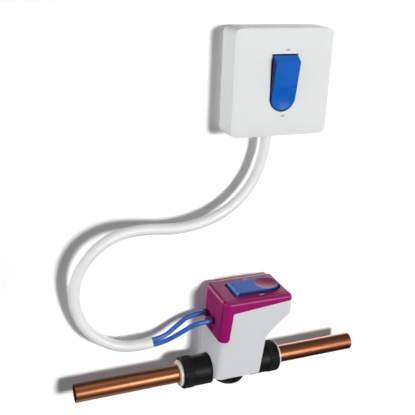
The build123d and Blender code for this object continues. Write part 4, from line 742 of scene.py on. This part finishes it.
# %% Paint shade on the sides of the rockers
ROCKER_TILT = math.radians(9.2)                # the wall rocker rests with its straight end out
FACE_SPREAD, BEVEL_SPREAD = math.radians(16), math.radians(4)    # how far a bright face may look away
BEVEL_SLOPE = math.atan2(7.3, 3.6)             # how far the bevel leans away from the face
SIDEWAYS = 0.1                                 # how far a face of the bevel may look to one side
ROCKER_WAYS = {"switch_rocker": (Vector((0, -1, 0)), Vector((0, 0, 1)), ROCKER_TILT),
               "valve_rocker": (Vector((0, 0, 1)), Vector((-1, 0, 0)), 0.0)}


def leaned(outward, along, angle):
    # The way outward, leaned over by an angle towards the way along.
    return math.cos(angle) * outward + math.sin(angle) * along


def is_bright(normal, outward, along, tilt):
    # The face, the bevel and the rounded edge between them. The side walls and their edges are not.
    if normal.angle(leaned(outward, along, -tilt), 0) < FACE_SPREAD:
        return True
    lean = math.atan2(normal.dot(along), normal.dot(outward)) + tilt
    straight = abs(normal.dot(outward.cross(along))) < SIDEWAYS
    return straight and 0 < lean < BEVEL_SLOPE + BEVEL_SPREAD


def darken_sides(piece, outward, along, tilt, finish):
    piece.data.materials.append(finish)
    # Faces turned away from the face and the bevel take the dark copy: painted shade.
    sides = [face for face in piece.data.polygons if not is_bright(face.normal, outward, along, tilt)]
    for face in sides:
        face.material_index = 1
    print(piece.name, len(sides), "dark faces of", len(piece.data.polygons))


for node_name, (outward, along, tilt) in ROCKER_WAYS.items():
    darken_sides(bpy.data.objects[node_name + "_moulding"], outward, along, tilt, rocker_painted_shade)

# %% [markdown]
# Fine ribs round each screw cap give the fingers a grip. They all have one shape, so a Geometry Nodes
# tree lays one rounded bar at every point of a ring. Its sizes are named inputs, and the result is made a
# plain mesh, one for each cap, because each cap turns on its own.

# %% Build the tree of grip ribs
BAR_SIDES = 8


def grip_tree():
    tree = bpy.data.node_groups.new("grip_ribs", "GeometryNodeTree")
    for title, kind in (("Count", "NodeSocketInt"), ("Ring Radius", "NodeSocketFloat"),
                        ("Rib Radius", "NodeSocketFloat"), ("Rib Length", "NodeSocketFloat"),
                        ("Turn", "NodeSocketFloat"), ("Finish", "NodeSocketMaterial")):
        tree.interface.new_socket(title, in_out="INPUT", socket_type=kind)
    tree.interface.new_socket("Geometry", in_out="OUTPUT", socket_type="NodeSocketGeometry")
    given, gives = tree.nodes.new("NodeGroupInput"), tree.nodes.new("NodeGroupOutput")
    ring = node(tree, "GeometryNodeMeshCircle", {"Vertices": given.outputs["Count"],
                                                 "Radius": given.outputs["Ring Radius"]})
    turned = node(tree, "GeometryNodeTransform", {
        "Geometry": ring.outputs[0],
        "Rotation": node(tree, "ShaderNodeCombineXYZ", {2: given.outputs["Turn"]}).outputs[0]})
    far = node(tree, "ShaderNodeCombineXYZ", {2: given.outputs["Rib Length"]})
    line = node(tree, "GeometryNodeCurvePrimitiveLine", {"End": far.outputs[0]})
    round_bar = node(tree, "GeometryNodeCurvePrimitiveCircle", {"Resolution": BAR_SIDES,
                                                               "Radius": given.outputs["Rib Radius"]})
    bar = node(tree, "GeometryNodeCurveToMesh", {
        "Curve": line.outputs[0], "Profile Curve": round_bar.outputs[0], "Fill Caps": True})
    laid = node(tree, "GeometryNodeInstanceOnPoints", {
        "Points": turned.outputs[0], "Instance": bar.outputs[0]})
    real = node(tree, "GeometryNodeRealizeInstances", {"Geometry": laid.outputs[0]})
    done = node(tree, "GeometryNodeSetMaterial", {"Geometry": real.outputs[0],
                                                  "Material": given.outputs["Finish"]})
    tree.links.new(done.outputs[0], gives.inputs[0])
    return tree


GRIP = grip_tree()
print("grip tree", len(GRIP.nodes), "nodes")

# %% [markdown]
# The tree is run on an empty object for each cap. A modifier's input is set by its identifier, before the
# object is worked out for the first time. The ribs grow along Z at the origin, and the plain mesh is then
# turned to lie along the pipe.

# %% Lay the ribs on both caps
CAP_RADIUS, RIB_COUNT, RIB_THICK, RIB_SINK = 13.4, 36, 0.36, 0.2
CAP_SPANS = {"left_screw_cap": (-1, 35.6, 42.6), "right_screw_cap": (1, 35.6, 42.6)}   # side, start and end


def grown(name, tree, values):
    piece = bpy.data.objects.new(name, bpy.data.meshes.new(name))
    scene.collection.objects.link(piece)
    nodes_step = piece.modifiers.new("grown", "NODES")
    nodes_step.node_group = tree
    keys = {item.name: item.identifier for item in tree.interface.items_tree if item.in_out == "INPUT"}
    for title, value in values.items():
        nodes_step[keys[title]] = value
    return settle(piece)


def place_mesh(piece, matrix):
    piece.data.transform(matrix)
    piece.data.update()
    return piece


for node_name, (side, start, end) in CAP_SPANS.items():
    ribs = grown(node_name + "_ribs", GRIP, {
        "Count": RIB_COUNT, "Ring Radius": (CAP_RADIUS - RIB_SINK) * MM, "Rib Radius": RIB_THICK * MM,
        "Rib Length": (end - start) * MM, "Turn": math.pi / RIB_COUNT, "Finish": body_black})
    first = start if side > 0 else -end
    place_mesh(ribs, Matrix.Translation(PIPE_AXIS + Vector((BODY_X + first * MM, 0, 0)))
               @ Matrix.Rotation(math.pi / 2, 4, "Y"))
    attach(ribs, BODY_OF[node_name])
    print(ribs.name, len(ribs.data.polygons), "faces")

# %% [markdown]
# Small printed words tell which end of a rocker opens and which closes the water. Each is a text object
# made a mesh, turned to the face that it stands on and laid a hair above it.

# %% Print the words beside the rockers
PRINT = {"edge_amount": 0.0, "dust": 0.0, "bump": 0.02}
print_grey = plain_finish("print_grey", (0.16, 0.17, 0.19), 0.6, vary=0.1, **PRINT)
print_white = plain_finish("print_white", (0.78, 0.76, 0.78), 0.5, vary=0.05, **PRINT)
PRINT_LIFT, PRINT_THICK, PRINT_BOLD = 0.04, 0.02, 0.06     # the hair above, and how thick and bold
COVER_FACE, HOOD_TOP = -25.4, -167.5
# Each kind: height, way the tops of the letters point, way they face, finish, node and slot.
ON_COVER = (1.9, (0, 0, 1), (0, -1, 0), print_grey, "switch_cover", "case_plastic")
ON_HOOD = (2.6, (0, 1, 0), (0, 0, 1), print_white, "valve_hood", "hood_plastic")
WORDS = [  # letters, place of their middle, kind
    ("OFF", (2.0, COVER_FACE, 26.4), ON_COVER), ("ON", (1.4, COVER_FACE, -26.3), ON_COVER),
    ("ON", (-23.6, -59.7, HOOD_TOP), ON_HOOD), ("OFF", (-25.2, -30.4, HOOD_TOP), ON_HOOD),
]


def printed_word(letters, height, place, up_way, face_way, finish):
    text = bpy.data.curves.new("word_" + letters, "FONT")
    text.body, text.align_x, text.align_y = letters, "CENTER", "CENTER"
    text.size, text.extrude, text.offset = height * MM, PRINT_THICK * MM, PRINT_BOLD * MM
    flat_text = bpy.data.objects.new("word", text)
    scene.collection.objects.link(flat_text)
    bpy.context.view_layer.update()
    ready = flat_text.evaluated_get(bpy.context.evaluated_depsgraph_get())
    mesh = bpy.data.meshes.new_from_object(ready)
    bpy.data.objects.remove(flat_text)
    up_way, face_way = Vector(up_way).normalized(), Vector(face_way).normalized()
    across = up_way.cross(face_way)
    turn = Matrix((across, up_way, face_way)).transposed().to_4x4()
    mesh.transform(Matrix.Translation(Vector(place) * MM + face_way * PRINT_LIFT * MM) @ turn)
    mesh.materials.clear()
    mesh.materials.append(finish)
    return mesh


for letters, place, (height, up_way, face_way, finish, node_name, finish_slot) in WORDS:
    word = bpy.data.objects.new(f"{node_name}_word_{letters.lower()}",
                                printed_word(letters, height, place, up_way, face_way, finish))
    scene.collection.objects.link(word)
    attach(word, BODY_OF[node_name])
    print(word.name, [round(v / MM, 2) for v in word.bound_box[0]])

# %% [markdown]
# The pieces inside can't be seen when the stopcock is closed up, but each still has its own finish, so
# that it looks right when somebody takes the model apart.

# %% Finish the pieces inside
for node_name, shown in frame["nodes"].items():
    for place in shown.material_slots:
        finish = SLOT_FINISH.get(place.material.name.split(".")[0]) if place.material else None
        place.material = port_magenta if node_name == "valve_manifold" else finish or pilot_grey
print("finished", len(frame["nodes"]), "nodes")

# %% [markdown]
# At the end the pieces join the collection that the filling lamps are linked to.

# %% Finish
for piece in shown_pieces():
    object_pieces.objects.link(piece)
